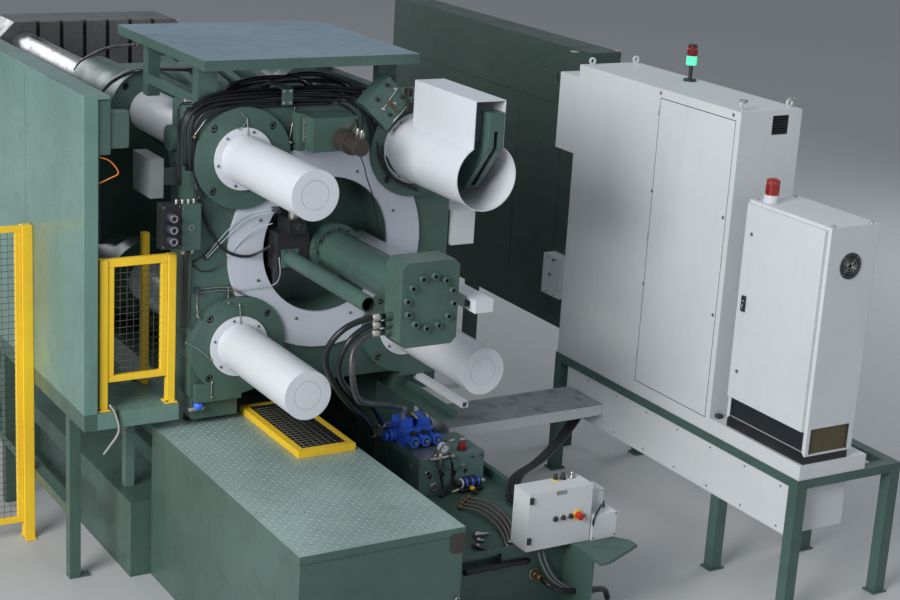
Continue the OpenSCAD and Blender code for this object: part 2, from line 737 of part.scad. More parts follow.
// Helper side guard: box beam on top and sheet doors below
module helper_guard() color(machine_green) {
  near = helper_near;
  beam_lo = 2605;
  beam_hi = 3045;
  low = 972;
  leg = 90;
  bay = 598;
  block([helper_x, near, beam_lo], [helper_x + 260, helper_end, beam_hi]);
  difference() {
    block([helper_x + 12, near, low], [helper_x + 72, helper_end, beam_lo]);
    for (i = [1 : 4]) block([helper_x + 11, near + i * bay - 278, low + 40],
      [helper_x + 17, near + i * bay - 272, beam_lo - 10]);
  }
  for (y = [near, 2480, helper_end - leg]) block([helper_x + 12, y, 0], [helper_x + 12 + leg, y + leg, beam_lo]);
  block([helper_x + 12, near, low - 60], [helper_x + 92, helper_end, low]);
}

// Small white switch box on the helper guard
module guard_switch_box() color(cover_white) block([helper_x - 88, 1060, 1180], [helper_x + 12, 1302, 1487]);

// Drilled valve manifold on the base, with its narrower far part beside the bed way
module valve_manifold() color(machine_green) {
  lo = [558, -325, base_h - 60];
  hi = [1045, plate_front, base_h + 194];
  difference() {
    union() {
      block(lo, hi);
      block([lo.x, plate_front, base_h], [900, 290, hi.z]);
    }
    for (x = [640 : 90 : 910]) translate([x, lo.y, base_h + 70]) rod_y(18, -1, 30);
    block([lo.x + 150, lo.y - 1, hi.z - 60], [lo.x + 160, plate_front, hi.z + 1]);
  }
  elbow([lo.x, left_elbow.y, left_elbow.z], left_elbow, hose_left_via[5]);
}

// Blue directional valves with their end caps and coils
module valve_bank() {
  z0 = base_h + 194;
  color(valve_blue) {
    block([575, -70, z0], [830, 170, z0 + 96]);
    for (x = [590, 720]) block([x, 0, z0 + 96], [x + 90, 120, z0 + 160]);
    translate([0, 40, z0 + 48]) rod_x(42, 520, 575);
    for (x = [622, 706, 790]) translate([x, 0, z0 + 50]) rod_y(38, -140, -70);
  }
  color(hose_black) for (x = [622, 706, 790]) translate([x, 0, z0 + 50]) rod_y(16, -150, -140);
  color(steel_grey) {
    elbow([575, middle_elbow.y, middle_elbow.z], middle_elbow, hose_middle_via[5]);
    elbow([right_elbow.x, right_elbow.y, z0 + 160], right_elbow, hose_right_via[5]);
  }
  color(steel_grey) translate([740, -300, z0]) cylinder(h = 24, r = 14);
  color(cover_white) translate([740, -300, z0 + 56]) rod_y(34, -16, 16);
  color([0.7, 0.1, 0.1]) translate([912, -255, z0]) cylinder(h = 46, r = 26);
}

// White cable tray that bridges from the base to the duct
module cable_tray() color(cabinet_grey) {
  far = cab_x;
  difference() {
    block([1024, 100, 622], [far, 520, 700]);
    block([1028, 104, 621], [far + 1, 516, 696]);
  }
  block([1120, 110, base_h], [1128, 510, 696]);
}

// Control box body, open towards its door, with two side boxes and a foot
module control_box() color(cabinet_grey) {
  lo = ctrl_lo;
  hi = lo + [ctrl_w, ctrl_d, ctrl_h];
  difference() {
    block(lo, hi);
    block(lo + [18, -1, 18], hi - [18, 12, 18]);
  }
  block([hi.x, lo.y + 30, lo.z + 150], [hi.x + 121, hi.y, lo.z + 303]);
  block([hi.x, lo.y + 10, lo.z], [hi.x + 187, hi.y - 40, lo.z + 165]);
  block([hi.x + 8, lo.y - 38, lo.z], [hi.x + 187, lo.y + 10, lo.z + 165]);
}

// Control box door with its button row and emergency stop
module control_box_door() {
  lo = ctrl_lo;
  t = 22;
  y0 = lo.y - t - seat;
  color(cabinet_grey) block([lo.x, y0, lo.z], [lo.x + ctrl_w, y0 + t, lo.z + ctrl_h]);
  color(hose_black) for (i = [0 : 2]) translate([lo.x + 195 + i * 55, y0, lo.z + 185]) rod_y(14, -14, 0);
  color(safety_yellow) translate([lo.x + 358, y0, lo.z + 185]) rod_y(32, -6, 0);
  color([0.8, 0.1, 0.05]) translate([lo.x + 358, y0, lo.z + 185]) rod_y(22, -40, -6);
  color(hose_black) for (z = [70, 330]) block([lo.x + 2, y0 - 12, lo.z + z - 20], [lo.x + 26, y0, lo.z + z + 20]);
}

// Large cabinet with a side box and lifting eyes
module large_cabinet() color(cabinet_grey) {
  lo = [cab_x, cab_near, stand_h];
  hi = [cab_x + cab_d, cab_far, stand_h + cab_h];
  difference() {
    block(lo, hi);
    block([cab_x - 1, -1015, stand_h + 90], [cab_x + 1, -1010, stand_h + cab_h - 60]);
    block([cab_x - 1, -240, stand_h + 90], [cab_x + 1, -235, stand_h + cab_h - 60]);
    block([cab_x - 1, -1015, stand_h + 90], [cab_x + 1, -235, stand_h + 95]);
    block([cab_x - 1, -1015, stand_h + cab_h - 65], [cab_x + 1, -235, stand_h + cab_h - 60]);
    block([2552, cab_near - 1, 2868], [2690, cab_near + 12, 2992]);
  }
  block([cab_x, cab_far, 2390], [cab_x + 300, cab_far + 230, 2935]);
  for (x = [cab_x + 60, cab_x + cab_d - 60], y = [cab_near + 60, cab_far - 60]) translate([x, y, hi.z])
    lifting_eye();
}

// Flat lifting eye
module lifting_eye() rotate([90, 0, 0]) linear_extrude(12, center = true) difference() {
  union() {
    translate([0, 32]) circle(26);
    translate([-14, 0]) square([28, 20]);
  }
  translate([0, 32]) circle(14);
}

// Signal tower on the large cabinet
module signal_tower() translate([2686, -28, stand_h + cab_h]) {
  color(hose_black) cylinder(h = 14, r = 44);
  color(hose_black) cylinder(h = 110, r = 14);
  color([0.2, 0.9, 0.55]) translate([0, 0, 110]) cylinder(h = 62, r = 34);
  color([0.5, 0.08, 0.08]) translate([0, 0, 174]) cylinder(h = 62, r = 34);
  color(hose_black) translate([0, 0, 172]) cylinder(h = 2, r = 33);
  color(hose_black) translate([0, 0, 236]) cylinder(h = 12, r = 30);
}

// Small cabinet body with a beacon, a side fan and louvre openings
module small_cabinet() {
  lo = [cab_x + 22 + seat, small_near, plinth_top + 55];
  hi = [cab_x + small_d, small_near + small_w, plinth_top + 55 + small_h];
  color(cabinet_grey) difference() {
    block(lo, hi);
    block([lo.x - 1, lo.y + 62, lo.z + 172], [hi.x - 16, hi.y - 32, hi.z - 42]);
    translate([cab_x + 200, small_near, 2260]) rod_y(62, -1, 14);
    block([cab_x + 50, small_near - 1, lo.z + 10], [cab_x + 360, small_near + 12, lo.z + 175]);
    block([lo.x - 1, lo.y + 30, lo.z + 20], [lo.x + 12, hi.y - 30, lo.z + 150]);
  }
  color(hose_black) block([lo.x, lo.y + 10, plinth_top], [hi.x - 20, hi.y - 10, lo.z]);
  translate([cab_x + 100, -1308, hi.z]) {
    color(cover_white) cylinder(h = 50, r = 50);
    color([0.75, 0.08, 0.06]) translate([0, 0, 50]) cylinder(h = 95, r = 42);
  }
}

// Door of the small cabinet with its swing handle
module small_cabinet_door() {
  z0 = plinth_top + 55 + 155;
  z1 = plinth_top + 55 + small_h - 20;
  y0 = small_near + 30;
  y1 = small_near + small_w - 12;
  color(cabinet_grey) block([cab_x, y0, z0], [cab_x + 22, y1, z1]);
  color(hose_black) block([cab_x - 16, y1 - 82, 1800], [cab_x, y1 - 52, 1900]);
}

// White plinth under the small cabinet
module cabinet_plinth() color(cabinet_grey) block([cab_x, small_near, stand_h], [cab_x + 540, cab_near - 0.3, plinth_top]);

// Green stand that carries the cabinets and is tied to the helper guard's first leg
module cabinet_stand() color(machine_green) {
  x0 = cab_x - 8;
  x1 = 3140;
  y0 = small_near - 6;
  y1 = cab_far + 10;
  rail = 58;
  leg = 80;
  top = stand_h;
  stations = [y0, -1245, y1 - leg];
  block([helper_x + 12, y1 - 10, top - rail], [helper_x + 70, helper_near, top]);
  for (x = [x0, x1 - leg]) block([x, y0, top - rail], [x + leg, y1, top]);
  for (y = stations) {
    block([x0, y, top - rail], [x1, y + leg, top]);
    for (x = [x0, x1 - leg]) {
      block([x, y, 0], [x + leg, y + leg, y == stations[1] && x == x0 ? duct_bottom : top - 10]);
      block([x - 20, y - 10, 0], [x + leg + 20, y + leg + 10, 12]);
    }
  }
}

// White cable duct below the stand's front rail
module cable_duct() color(cabinet_grey)
  block([cab_x, small_near + 74, duct_bottom], [cab_x + 470, 560, stand_h - 58]);

// Hoses from the cylinder's end block down to the fittings on the valve manifold
module clamp_hoses() color(hose_black) {
  hose(0, hose_left_via, left_elbow);
  hose(1, hose_middle_via, middle_elbow);
  hose(2, hose_right_via, right_elbow);
}
module hose(i, via, corner) sweep(smooth(concat([port + [0, 0, hose_port_z[i]]], via,
  [fitting_end(corner, via[len(via) - 1])]), 2), hose_r);

base_frame();
bed_ways();
oil_tank();
tank_grating();
tail_platen();
ring_cover();
clamp_cylinder();
cylinder_end_block();
return_pipe();
prefill_block();
pilot_valve();
guide_rail();
tie_bars();
tie_bar_sleeves();
bar_covers();
puller_cover();
puller_arm();
moving_platen();
tail_links();
platen_links();
crosshead();
fixed_platen();
injection_frame();
shot_cylinder();
accumulators();
top_platform();
adjusting_motor();
tilted_manifold();
side_terminal_box();
side_valve_block();
terminal_boxes();
way_channel();
operator_guard();
guard_stand();
step_platform();
mesh_fences();
helper_guard();
guard_switch_box();
valve_manifold();
valve_bank();
cable_tray();
control_box();
control_box_door();
large_cabinet();
signal_tower();
small_cabinet();
small_cabinet_door();
cabinet_plinth();
cabinet_stand();
cable_duct();
clamp_hoses();
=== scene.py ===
"""Looks of the die casting machine: paint, steel, bolts, wire mesh, hoses, cables, camera and light.

Metres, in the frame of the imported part: +X towards the cabinets, +Y along the machine, +Z up.
"""
import math
from itertools import product

import bmesh
import bpy
from mathutils import Matrix, Vector


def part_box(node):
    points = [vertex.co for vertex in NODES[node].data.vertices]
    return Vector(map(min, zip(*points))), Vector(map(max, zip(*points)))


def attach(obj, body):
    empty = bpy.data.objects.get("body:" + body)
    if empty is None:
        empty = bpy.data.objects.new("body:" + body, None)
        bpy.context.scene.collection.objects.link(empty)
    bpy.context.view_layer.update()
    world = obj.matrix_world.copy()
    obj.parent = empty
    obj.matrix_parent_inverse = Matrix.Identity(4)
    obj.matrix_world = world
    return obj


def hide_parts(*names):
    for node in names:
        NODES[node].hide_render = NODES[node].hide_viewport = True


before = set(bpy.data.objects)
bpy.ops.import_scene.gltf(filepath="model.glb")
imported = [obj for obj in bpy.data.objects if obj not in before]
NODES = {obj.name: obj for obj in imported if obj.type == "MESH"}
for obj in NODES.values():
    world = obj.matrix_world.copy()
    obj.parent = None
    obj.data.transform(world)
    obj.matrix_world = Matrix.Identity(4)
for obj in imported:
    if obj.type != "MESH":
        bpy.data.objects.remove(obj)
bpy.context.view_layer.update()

# Height of the clamp's centre line, and half the distance between tie bars
CENTRE_Z = 2.09
HALF = 0.585
# The photograph's camera, solved from the photograph: place, directions, focal length and width in pixels
CAMERA_PLACE = (-4.965, -9.6, 5.01)
CAMERA_RIGHT = (0.8605, -0.5061, 0.0581)
CAMERA_BACK = (-0.5, -0.8173, 0.2864)
FOCAL_PIXELS = 1803.4
PHOTO_WIDTH = 900
SENSOR_MM = 36.0
X, Y, Z = Vector((1, 0, 0)), Vector((0, 1, 0)), Vector((0, 0, 1))


def srgb(red, green, blue):
    """Linear colour from an 0-255 sRGB one."""
    def linear(value):
        value /= 255
        return value / 12.92 if value <= 0.04045 else ((value + 0.055) / 1.055) ** 2.4
    return (linear(red), linear(green), linear(blue))


# Camera and light

def add_camera():
    """The photograph's viewpoint."""
    right = Vector(CAMERA_RIGHT).normalized()
    back = Vector(CAMERA_BACK)
    back = (back - right * back.dot(right)).normalized()
    up = back.cross(right)
    data = bpy.data.cameras.new("photo_camera")
    data.sensor_width = SENSOR_MM
    data.lens = FOCAL_PIXELS / PHOTO_WIDTH * SENSOR_MM
    data.clip_end = 200.0
    camera = bpy.data.objects.new("photo_camera", data)
    turn = Matrix((right, up, back)).transposed().to_4x4()
    camera.matrix_world = Matrix.Translation(CAMERA_PLACE) @ turn
    bpy.context.scene.collection.objects.link(camera)
    bpy.context.scene.camera = camera


def add_lamp(name, place, target, size, watts, colour):
    """Square soft lamp at a place, turned to a target."""
    data = bpy.data.lights.new(name, "AREA")
    data.size = size
    data.energy = watts
    data.color = colour
    lamp = bpy.data.objects.new(name, data)
    lamp.location = place
    lamp.rotation_euler = (Vector(target) - Vector(place)).to_track_quat("-Z", "Y").to_euler()
    bpy.context.scene.collection.objects.link(lamp)


def add_light():
    """Soft daylight from the open side on the left, weaker light from above and the right."""
    add_lamp("daylight", (-14.5, -7.2, 8.8), (0.0, 0.5, 1.5), 8.0, 2850, (1.0, 0.99, 0.97))
    add_lamp("roof_light", (0.5, -1.5, 9.5), (0.0, 0.5, 1.5), 7.0, 70, (0.95, 0.98, 1.0))
    add_lamp("side_fill", (7.5, -10.0, 4.5), (1.0, 0.0, 1.6), 5.0, 25, (0.93, 0.97, 1.0))
    add_lamp("rear_fill", (-2.5, 15.0, 6.0), (0.0, 3.0, 1.4), 5.0, 340, (0.95, 0.98, 1.0))
    add_lamp("right_fill", (12.5, 2.0, 5.0), (1.5, 1.5, 1.4), 5.0, 300, (0.95, 0.98, 1.0))
    world = bpy.data.worlds.new("studio")
    bpy.context.scene.world = world
    world.use_nodes = True
    tree = world.node_tree
    light = tree.nodes["Background"]
    light.inputs["Color"].default_value = (0.86, 0.93, 1.0, 1)
    light.inputs["Strength"].default_value = 0.30
    plain = tree.nodes.new("ShaderNodeBackground")
    plain.inputs["Color"].default_value = (0.78, 0.79, 0.80, 1)
    plain.inputs["Strength"].default_value = 1.0
    rays = tree.nodes.new("ShaderNodeLightPath")
    mix = tree.nodes.new("ShaderNodeMixShader")
    tree.links.new(rays.outputs["Is Camera Ray"], mix.inputs["Fac"])
    tree.links.new(light.outputs["Background"], mix.inputs[1])
    tree.links.new(plain.outputs["Background"], mix.inputs[2])
    tree.links.new(mix.outputs["Shader"], tree.nodes["World Output"].inputs["Surface"])


def add_floor():
    """Plain pale floor, not part of the machine."""
    size = 60.0
    mesh = bpy.data.meshes.new("studio_floor")
    corners = [(-size, -size, 0), (size, -size, 0), (size, size, 0), (-size, size, 0)]
    mesh.from_pydata(corners, [], [(0, 1, 2, 3)])
    floor = bpy.data.objects.new("studio_floor", mesh)
    material = bpy.data.materials.new("studio_floor")
    material.use_nodes = True
    shader = material.node_tree.nodes["Principled BSDF"]
    shader.inputs["Base Color"].default_value = (0.50, 0.51, 0.52, 1)
    shader.inputs["Roughness"].default_value = 0.75
    mesh.materials.append(material)
    bpy.context.scene.collection.objects.link(floor)


# Materials

class Shader:
    """Small helper that wires the nodes of one procedural material."""

    def __init__(self, name):
        self.material = bpy.data.materials.new(name)
        self.material.use_nodes = True
        self.tree = self.material.node_tree
        self.bsdf = self.tree.nodes["Principled BSDF"]
        self.place = self.node("ShaderNodeTexCoord").outputs["Object"]

    def node(self, kind, **settings):
        made = self.tree.nodes.new(kind)
        for key, value in settings.items():
            setattr(made, key, value)
        return made

    def link(self, source, target):
        self.tree.links.new(source, target)

    def noise(self, scale, detail=4.0, rough=0.55, stretch=None):
        """Noise from 0 to 1, stretched along the axes by 1/stretch."""
        made = self.node("ShaderNodeTexNoise")
        made.inputs["Scale"].default_value = scale
        made.inputs["Detail"].default_value = detail
        made.inputs["Roughness"].default_value = rough
        source = self.place
        if stretch:
            mapping = self.node("ShaderNodeMapping")
            mapping.inputs["Scale"].default_value = stretch
            self.link(source, mapping.inputs["Vector"])
            source = mapping.outputs["Vector"]
        self.link(source, made.inputs["Vector"])
        return made.outputs["Fac"]

    def steps(self, value, low, high, low_out=0.0, high_out=1.0):
        """Value spread from low..high to low_out..high_out, clamped."""
        made = self.node("ShaderNodeMapRange")
        made.inputs["From Min"].default_value = low
        made.inputs["From Max"].default_value = high
        made.inputs["To Min"].default_value = low_out
        made.inputs["To Max"].default_value = high_out
        self.link(value, made.inputs["Value"])
        return made.outputs["Result"]

    def math(self, operation, first, second):
        made = self.node("ShaderNodeMath", operation=operation)
        for socket, value in zip(made.inputs, (first, second)):
            if isinstance(value, (int, float)):
                socket.default_value = value
            else:
                self.link(value, socket)
        return made.outputs["Value"]

    def mix(self, factor, first, second):
        """Colour mix."""
        made = self.node("ShaderNodeMix", data_type="RGBA")
        self.link(factor, made.inputs[0])
        for socket, value in ((made.inputs[6], first), (made.inputs[7], second)):
            if isinstance(value, tuple):
                socket.default_value = (*value, 1.0)
            else:
                self.link(value, socket)
        return made.outputs[2]

    def rounded(self, radius):
        """Normal that rounds sharp edges."""
        made = self.node("ShaderNodeBevel", samples=4)
        made.inputs["Radius"].default_value = radius
        return made.outputs["Normal"]

    def edge_mask(self, radius, noise):
        """Bright along worn edges."""
        normal = self.rounded(radius)
        dot = self.node("ShaderNodeVectorMath", operation="DOT_PRODUCT")
        self.link(normal, dot.inputs[0])
        self.link(self.node("ShaderNodeNewGeometry").outputs["Normal"], dot.inputs[1])
        away = self.steps(dot.outputs["Value"], 0.995, 0.86)
        return self.math("MULTIPLY", away, self.steps(noise, 0.48, 0.60))

    def corner_shade_mask(self, distance):
        """Mask that is high in corners and under overhangs, from ambient occlusion: where painted shade goes.
        """
        made = self.node("ShaderNodeAmbientOcclusion", samples=4)
        made.inputs["Distance"].default_value = distance
        return self.steps(made.outputs["AO"], 0.75, 0.25)

    def bump(self, height, strength, distance, normal=None):
        made = self.node("ShaderNodeBump")
        made.inputs["Strength"].default_value = strength
        made.inputs["Distance"].default_value = distance
        self.link(height, made.inputs["Height"])
        if normal is not None:
            self.link(normal, made.inputs["Normal"])
        return made.outputs["Normal"]


def coated(name, colour, rough=0.42, mottle=0.07, smudge=0.25, streak=0.12, grime_and_corner_shade=0.45, wear=0.5,
           dirt_and_shade_colour=(0.035, 0.032, 0.026), bare=(0.30, 0.31, 0.30), peel=0.06, metallic=0.0, edge=0.003):
    """Painted or moulded surface with mottling, smudges, runs, worn edges, and dirt with painted shade in
    corners and under overhangs.
    """
    s = Shader(name)
    s.bsdf.inputs["Metallic"].default_value = metallic
    broad = s.noise(1.1, 3.0)
    patchy = s.noise(7.0, 7.0, 0.62)
    runs = s.noise(1.0, 5.0, 0.6, stretch=(16.0, 16.0, 1.3))
    fine = s.noise(420.0, 2.0)
    paler = tuple(min(1.0, c * (1 + 1.6 * mottle) + 0.2 * mottle * c) for c in colour)
    darker = tuple(c * (1 - 1.6 * mottle) for c in colour)
    shade = s.mix(s.steps(broad, 0.35, 0.65), darker, paler)
    dirt_and_shade = s.math("MULTIPLY", s.steps(patchy, 0.50, 0.78), smudge)
    dirt_and_shade = s.math("ADD", dirt_and_shade, s.math("MULTIPLY", s.steps(runs, 0.54, 0.80), streak))
    # Painted shade: darker in corners and under overhangs, from ambient occlusion, broken up by the patchy
    # noise; it also stands for dirt collecting there.
    corner = s.math("MULTIPLY", s.corner_shade_mask(0.10), s.steps(patchy, 0.28, 0.60))
    dirt_and_shade = s.math("ADD", dirt_and_shade, s.math("MULTIPLY", corner, grime_and_corner_shade))
    dirt_and_shade = s.math("MINIMUM", dirt_and_shade, 0.9)
    shade = s.mix(dirt_and_shade, shade, dirt_and_shade_colour)
    if wear:
        worn = s.math("MULTIPLY", s.edge_mask(0.005, s.noise(26.0, 5.0, 0.7)), wear)
        shade = s.mix(worn, shade, bare)
    s.link(shade, s.bsdf.inputs["Base Color"])
    shine = s.steps(patchy, 0.3, 0.8, rough - 0.07, rough + 0.12)
    s.link(s.math("ADD", shine, s.math("MULTIPLY", dirt_and_shade, 0.25)), s.bsdf.inputs["Roughness"])
    normal = s.bump(fine, peel, 0.0006, s.rounded(edge))
    s.link(s.bump(broad, 0.10, 0.004, normal), s.bsdf.inputs["Normal"])
    return s.material


def machined(name, colour, rough=0.3, lines=None, grime_and_corner_shade=0.4, dirt_and_shade_colour=(0.03, 0.027, 0.022), metallic=0.9):
    """Bare metal with fine tool lines along an axis, oil film, patchy dirt and painted shade in corners."""
    s = Shader(name)
    s.bsdf.inputs["Metallic"].default_value = metallic
    patchy = s.noise(9.0, 6.0, 0.6)
    tool = s.noise(90.0, 3.0, 0.6, stretch=lines or (1.0, 1.0, 1.0))
    darker = tuple(c * 0.72 for c in colour)
    shade = s.mix(s.steps(tool, 0.35, 0.65), darker, colour)
    dirt_and_shade = s.math("MULTIPLY", s.steps(patchy, 0.45, 0.75), grime_and_corner_shade)
    # Painted shade: darker in corners, from ambient occlusion.
    dirt_and_shade = s.math("ADD", dirt_and_shade, s.math("MULTIPLY", s.corner_shade_mask(0.06), grime_and_corner_shade))
    shade = s.mix(s.math("MINIMUM", dirt_and_shade, 0.85), shade, dirt_and_shade_colour)
    s.link(shade, s.bsdf.inputs["Base Color"])
    s.link(s.steps(patchy, 0.3, 0.8, rough, rough + 0.22), s.bsdf.inputs["Roughness"])
    s.link(s.bump(tool, 0.15, 0.0008, s.rounded(0.002)), s.bsdf.inputs["Normal"])
    return s.material


def rubber(name, colour=(0.012, 0.012, 0.014), rough=0.5, dust_and_sheen=0.25):
    """Hose and cable sheath with fine ribs of grain, and pale patches of dust; on the speckled hose they also
    stand in for highlights.
    """
    s = Shader(name)
    patchy = s.noise(14.0, 6.0, 0.6)
    fine = s.noise(300.0, 2.0)
    shade = s.mix(s.math("MULTIPLY", s.steps(patchy, 0.45, 0.75), dust_and_sheen), colour, (0.12, 0.115, 0.105))
    s.link(shade, s.bsdf.inputs["Base Color"])
    s.link(s.steps(patchy, 0.3, 0.8, rough - 0.08, rough + 0.15), s.bsdf.inputs["Roughness"])
    s.link(s.bump(fine, 0.25, 0.0008), s.bsdf.inputs["Normal"])
    return s.material


def lens(name, colour, glow=0.0):
    """Moulded lamp lens, darker towards the ribs."""
    s = Shader(name)
    ribs = s.noise(60.0, 2.0, 0.5, stretch=(1.0, 1.0, 0.05))
    shade = s.mix(s.steps(ribs, 0.3, 0.7), tuple(c * 0.6 for c in colour), colour)
    s.link(shade, s.bsdf.inputs["Base Color"])
    s.link(s.steps(ribs, 0.3, 0.7, 0.12, 0.22), s.bsdf.inputs["Roughness"])
    s.bsdf.inputs["Coat Weight"].default_value = 0.6
    if glow:
        s.link(shade, s.bsdf.inputs["Emission Color"])
        s.bsdf.inputs["Emission Strength"].default_value = glow
    s.link(s.bump(ribs, 0.3, 0.001), s.bsdf.inputs["Normal"])
    return s.material


GREEN_PRIMER = (0.20, 0.24, 0.22)
# Colour of the dirt and of the painted corner shade on the pale paints.
PALE_DIRT_AND_SHADE = (0.16, 0.15, 0.13)
GREEN = coated("green_paint", srgb(71, 98, 90), rough=0.36, smudge=0.32, grime_and_corner_shade=0.65, wear=0.35,
    bare=GREEN_PRIMER)
# Lighter copy of the machine's green: painted light on the hydraulic manifold.
MANIFOLD_LIT_GREEN = coated("manifold_paint_painted_light", srgb(98, 126, 124), rough=0.36, smudge=0.25, grime_and_corner_shade=0.4, wear=0.35,
    bare=GREEN_PRIMER)
# Darker copy of the machine's green: painted shade on the toggle links and crosshead deep in the frame and on
# the helper guard behind the machine.
SHADED_GREEN = coated("green_paint_painted_shade", srgb(50, 70, 63), rough=0.42, smudge=0.4, grime_and_corner_shade=0.6, wear=0.3)
GUARD_GREEN = coated("guard_green_paint", srgb(104, 138, 130), rough=0.24, smudge=0.15, grime_and_corner_shade=0.4, wear=0.3,
    bare=GREEN_PRIMER)
DECK_GREEN = coated("deck_green_paint", srgb(106, 136, 128), rough=0.32, smudge=0.30, streak=0.0, grime_and_corner_shade=0.3,
    wear=0.4, bare=(0.30, 0.36, 0.33))
# Lighter, bluer green for the tank's top: painted reflection of the bright window on the glossy top.
TANK_TOP_PAINTED_REFLECTION = coated("tank_top_painted_reflection", srgb(142, 166, 162), rough=0.28, smudge=0.25, streak=0.0, grime_and_corner_shade=0.3,
    wear=0.4, bare=(0.40, 0.46, 0.44))
# Still lighter green for the chequer lugs: painted glint on their raised tops, which are also rubbed.
LUG_GLINT_AND_WEAR_GREEN = coated("lug_paint_glint_and_wear", srgb(156, 178, 172), rough=0.25, smudge=0.10, streak=0.0, grime_and_corner_shade=0.1,
    wear=0.0)
# Lighter, bluer green for the top platform's top: painted light from the sky above.
SKY_LIT_ROOF_GREEN = coated("roof_green_painted_sky_light", srgb(118, 140, 156), rough=0.42, smudge=0.22, grime_and_corner_shade=0.3, wear=0.3)
WHITE = coated("white_paint", srgb(214, 218, 226), rough=0.36, mottle=0.02, smudge=0.06, streak=0.05,
    grime_and_corner_shade=0.32, wear=0.25, dirt_and_shade_colour=PALE_DIRT_AND_SHADE, bare=(0.45, 0.45, 0.44))
RING_WHITE = coated("ring_paint", srgb(196, 202, 214), rough=0.40, mottle=0.02, smudge=0.08, streak=0.08,
    grime_and_corner_shade=0.35, wear=0.25, dirt_and_shade_colour=PALE_DIRT_AND_SHADE, bare=(0.45, 0.45, 0.44))
CABINET = coated("cabinet_paint", srgb(209, 213, 217), rough=0.48, mottle=0.02, smudge=0.05, streak=0.06,
    grime_and_corner_shade=0.28, wear=0.15, dirt_and_shade_colour=(0.17, 0.165, 0.15), bare=(0.4, 0.4, 0.4), peel=0.16)
YELLOW = coated("yellow_paint", srgb(255, 208, 50), rough=0.36, mottle=0.04, smudge=0.08, streak=0.06,
    grime_and_corner_shade=0.30, wear=0.30, dirt_and_shade_colour=(0.10, 0.07, 0.03), bare=(0.22, 0.20, 0.16))
# Blue enamel made lighter than its own colour, as painted light on the valve bank and its valves.
LIT_BLUE = coated("blue_enamel_painted_light", srgb(62, 112, 235), rough=0.28, mottle=0.06, smudge=0.25, grime_and_corner_shade=0.5, wear=0.2,
    dirt_and_shade_colour=(0.02, 0.022, 0.03))
NAVY = coated("navy_valve_paint", srgb(22, 30, 66), rough=0.3, smudge=0.3, grime_and_corner_shade=0.4, wear=0.3,
    dirt_and_shade_colour=(0.01, 0.011, 0.014))
BLACK = coated("black_valve_paint", (0.018, 0.018, 0.02), rough=0.42, smudge=0.3, grime_and_corner_shade=0.3, wear=0.5,
    dirt_and_shade_colour=(0.05, 0.045, 0.04), bare=(0.16, 0.16, 0.17))
GUNMETAL = coated("gunmetal_paint", srgb(52, 56, 66), rough=0.40, smudge=0.3, grime_and_corner_shade=0.4, wear=0.4)
BROWN = coated("brown_motor_paint", srgb(60, 51, 49), rough=0.42, smudge=0.5, grime_and_corner_shade=0.6, wear=0.3)
BOX_GREY = coated("box_grey_paint", srgb(142, 146, 148), rough=0.45, mottle=0.03, smudge=0.2, grime_and_corner_shade=0.5,
    wear=0.2)
SMOKED = coated("smoked_panel", srgb(44, 47, 51), rough=0.16, mottle=0.08, smudge=0.35, grime_and_corner_shade=0.5, wear=0.0)
AMBER = coated("amber_panel", srgb(84, 76, 46), rough=0.18, mottle=0.08, smudge=0.35, grime_and_corner_shade=0.5, wear=0.0)
SOILED = coated("soiled_grey_paint", srgb(138, 144, 148), rough=0.5, mottle=0.10, smudge=0.75, streak=0.0,
    grime_and_corner_shade=0.6, wear=0.4, dirt_and_shade_colour=(0.045, 0.045, 0.042))
RED = coated("red_plastic", srgb(190, 36, 26), rough=0.3, mottle=0.04, smudge=0.1, grime_and_corner_shade=0.3, wear=0.0)
DEEP_RED = coated("knob_plastic", srgb(132, 24, 28), rough=0.3, mottle=0.04, smudge=0.2, grime_and_corner_shade=0.3,
    wear=0.0)
STEEL = machined("machined_steel", (0.52, 0.52, 0.53), 0.26, lines=(1.0, 14.0, 1.0))
CAST = machined("machined_cast_iron", (0.27, 0.275, 0.28), 0.38, lines=(1.0, 1.0, 8.0))
BOLT = machined("bolt_steel", (0.30, 0.31, 0.31), 0.34, grime_and_corner_shade=0.5)
ZINC = machined("zinc_fitting", (0.62, 0.61, 0.57), 0.28, grime_and_corner_shade=0.35)
BRASS = machined("brass_fitting", (0.42, 0.26, 0.12), 0.36, grime_and_corner_shade=0.4)
HOSE = rubber("hose_rubber", (0.009, 0.010, 0.014), 0.36, 0.10)
CABLE = rubber("cable_sheath", (0.010, 0.010, 0.012), 0.36, 0.08)
MESH_WIRE = rubber("mesh_wire", (0.075, 0.075, 0.055), 0.4, 0.3)
# Speckled hose: its heavy pale patches are partly dust and partly painted highlights.
SPECKLED = rubber("speckled_hose", (0.035, 0.035, 0.042), 0.30, 0.8)
AIR_TUBE = rubber("pale_blue_air_tube", (0.42, 0.50, 0.56), 0.3, 0.2)
CLEAR_HOSE = rubber("clear_drain_hose", (0.125, 0.120, 0.115), 0.16, 0.3)
ORANGE = rubber("orange_wire", (0.75, 0.22, 0.04), 0.4, 0.1)
PALE = rubber("pale_yellow_tube", (0.62, 0.60, 0.40), 0.35, 0.2)
GREY_CABLE = rubber("grey_conduit", (0.20, 0.21, 0.22), 0.45, 0.3)
PALE_CABLE = rubber("pale_grey_cable", (0.40, 0.40, 0.38), 0.45, 0.3)
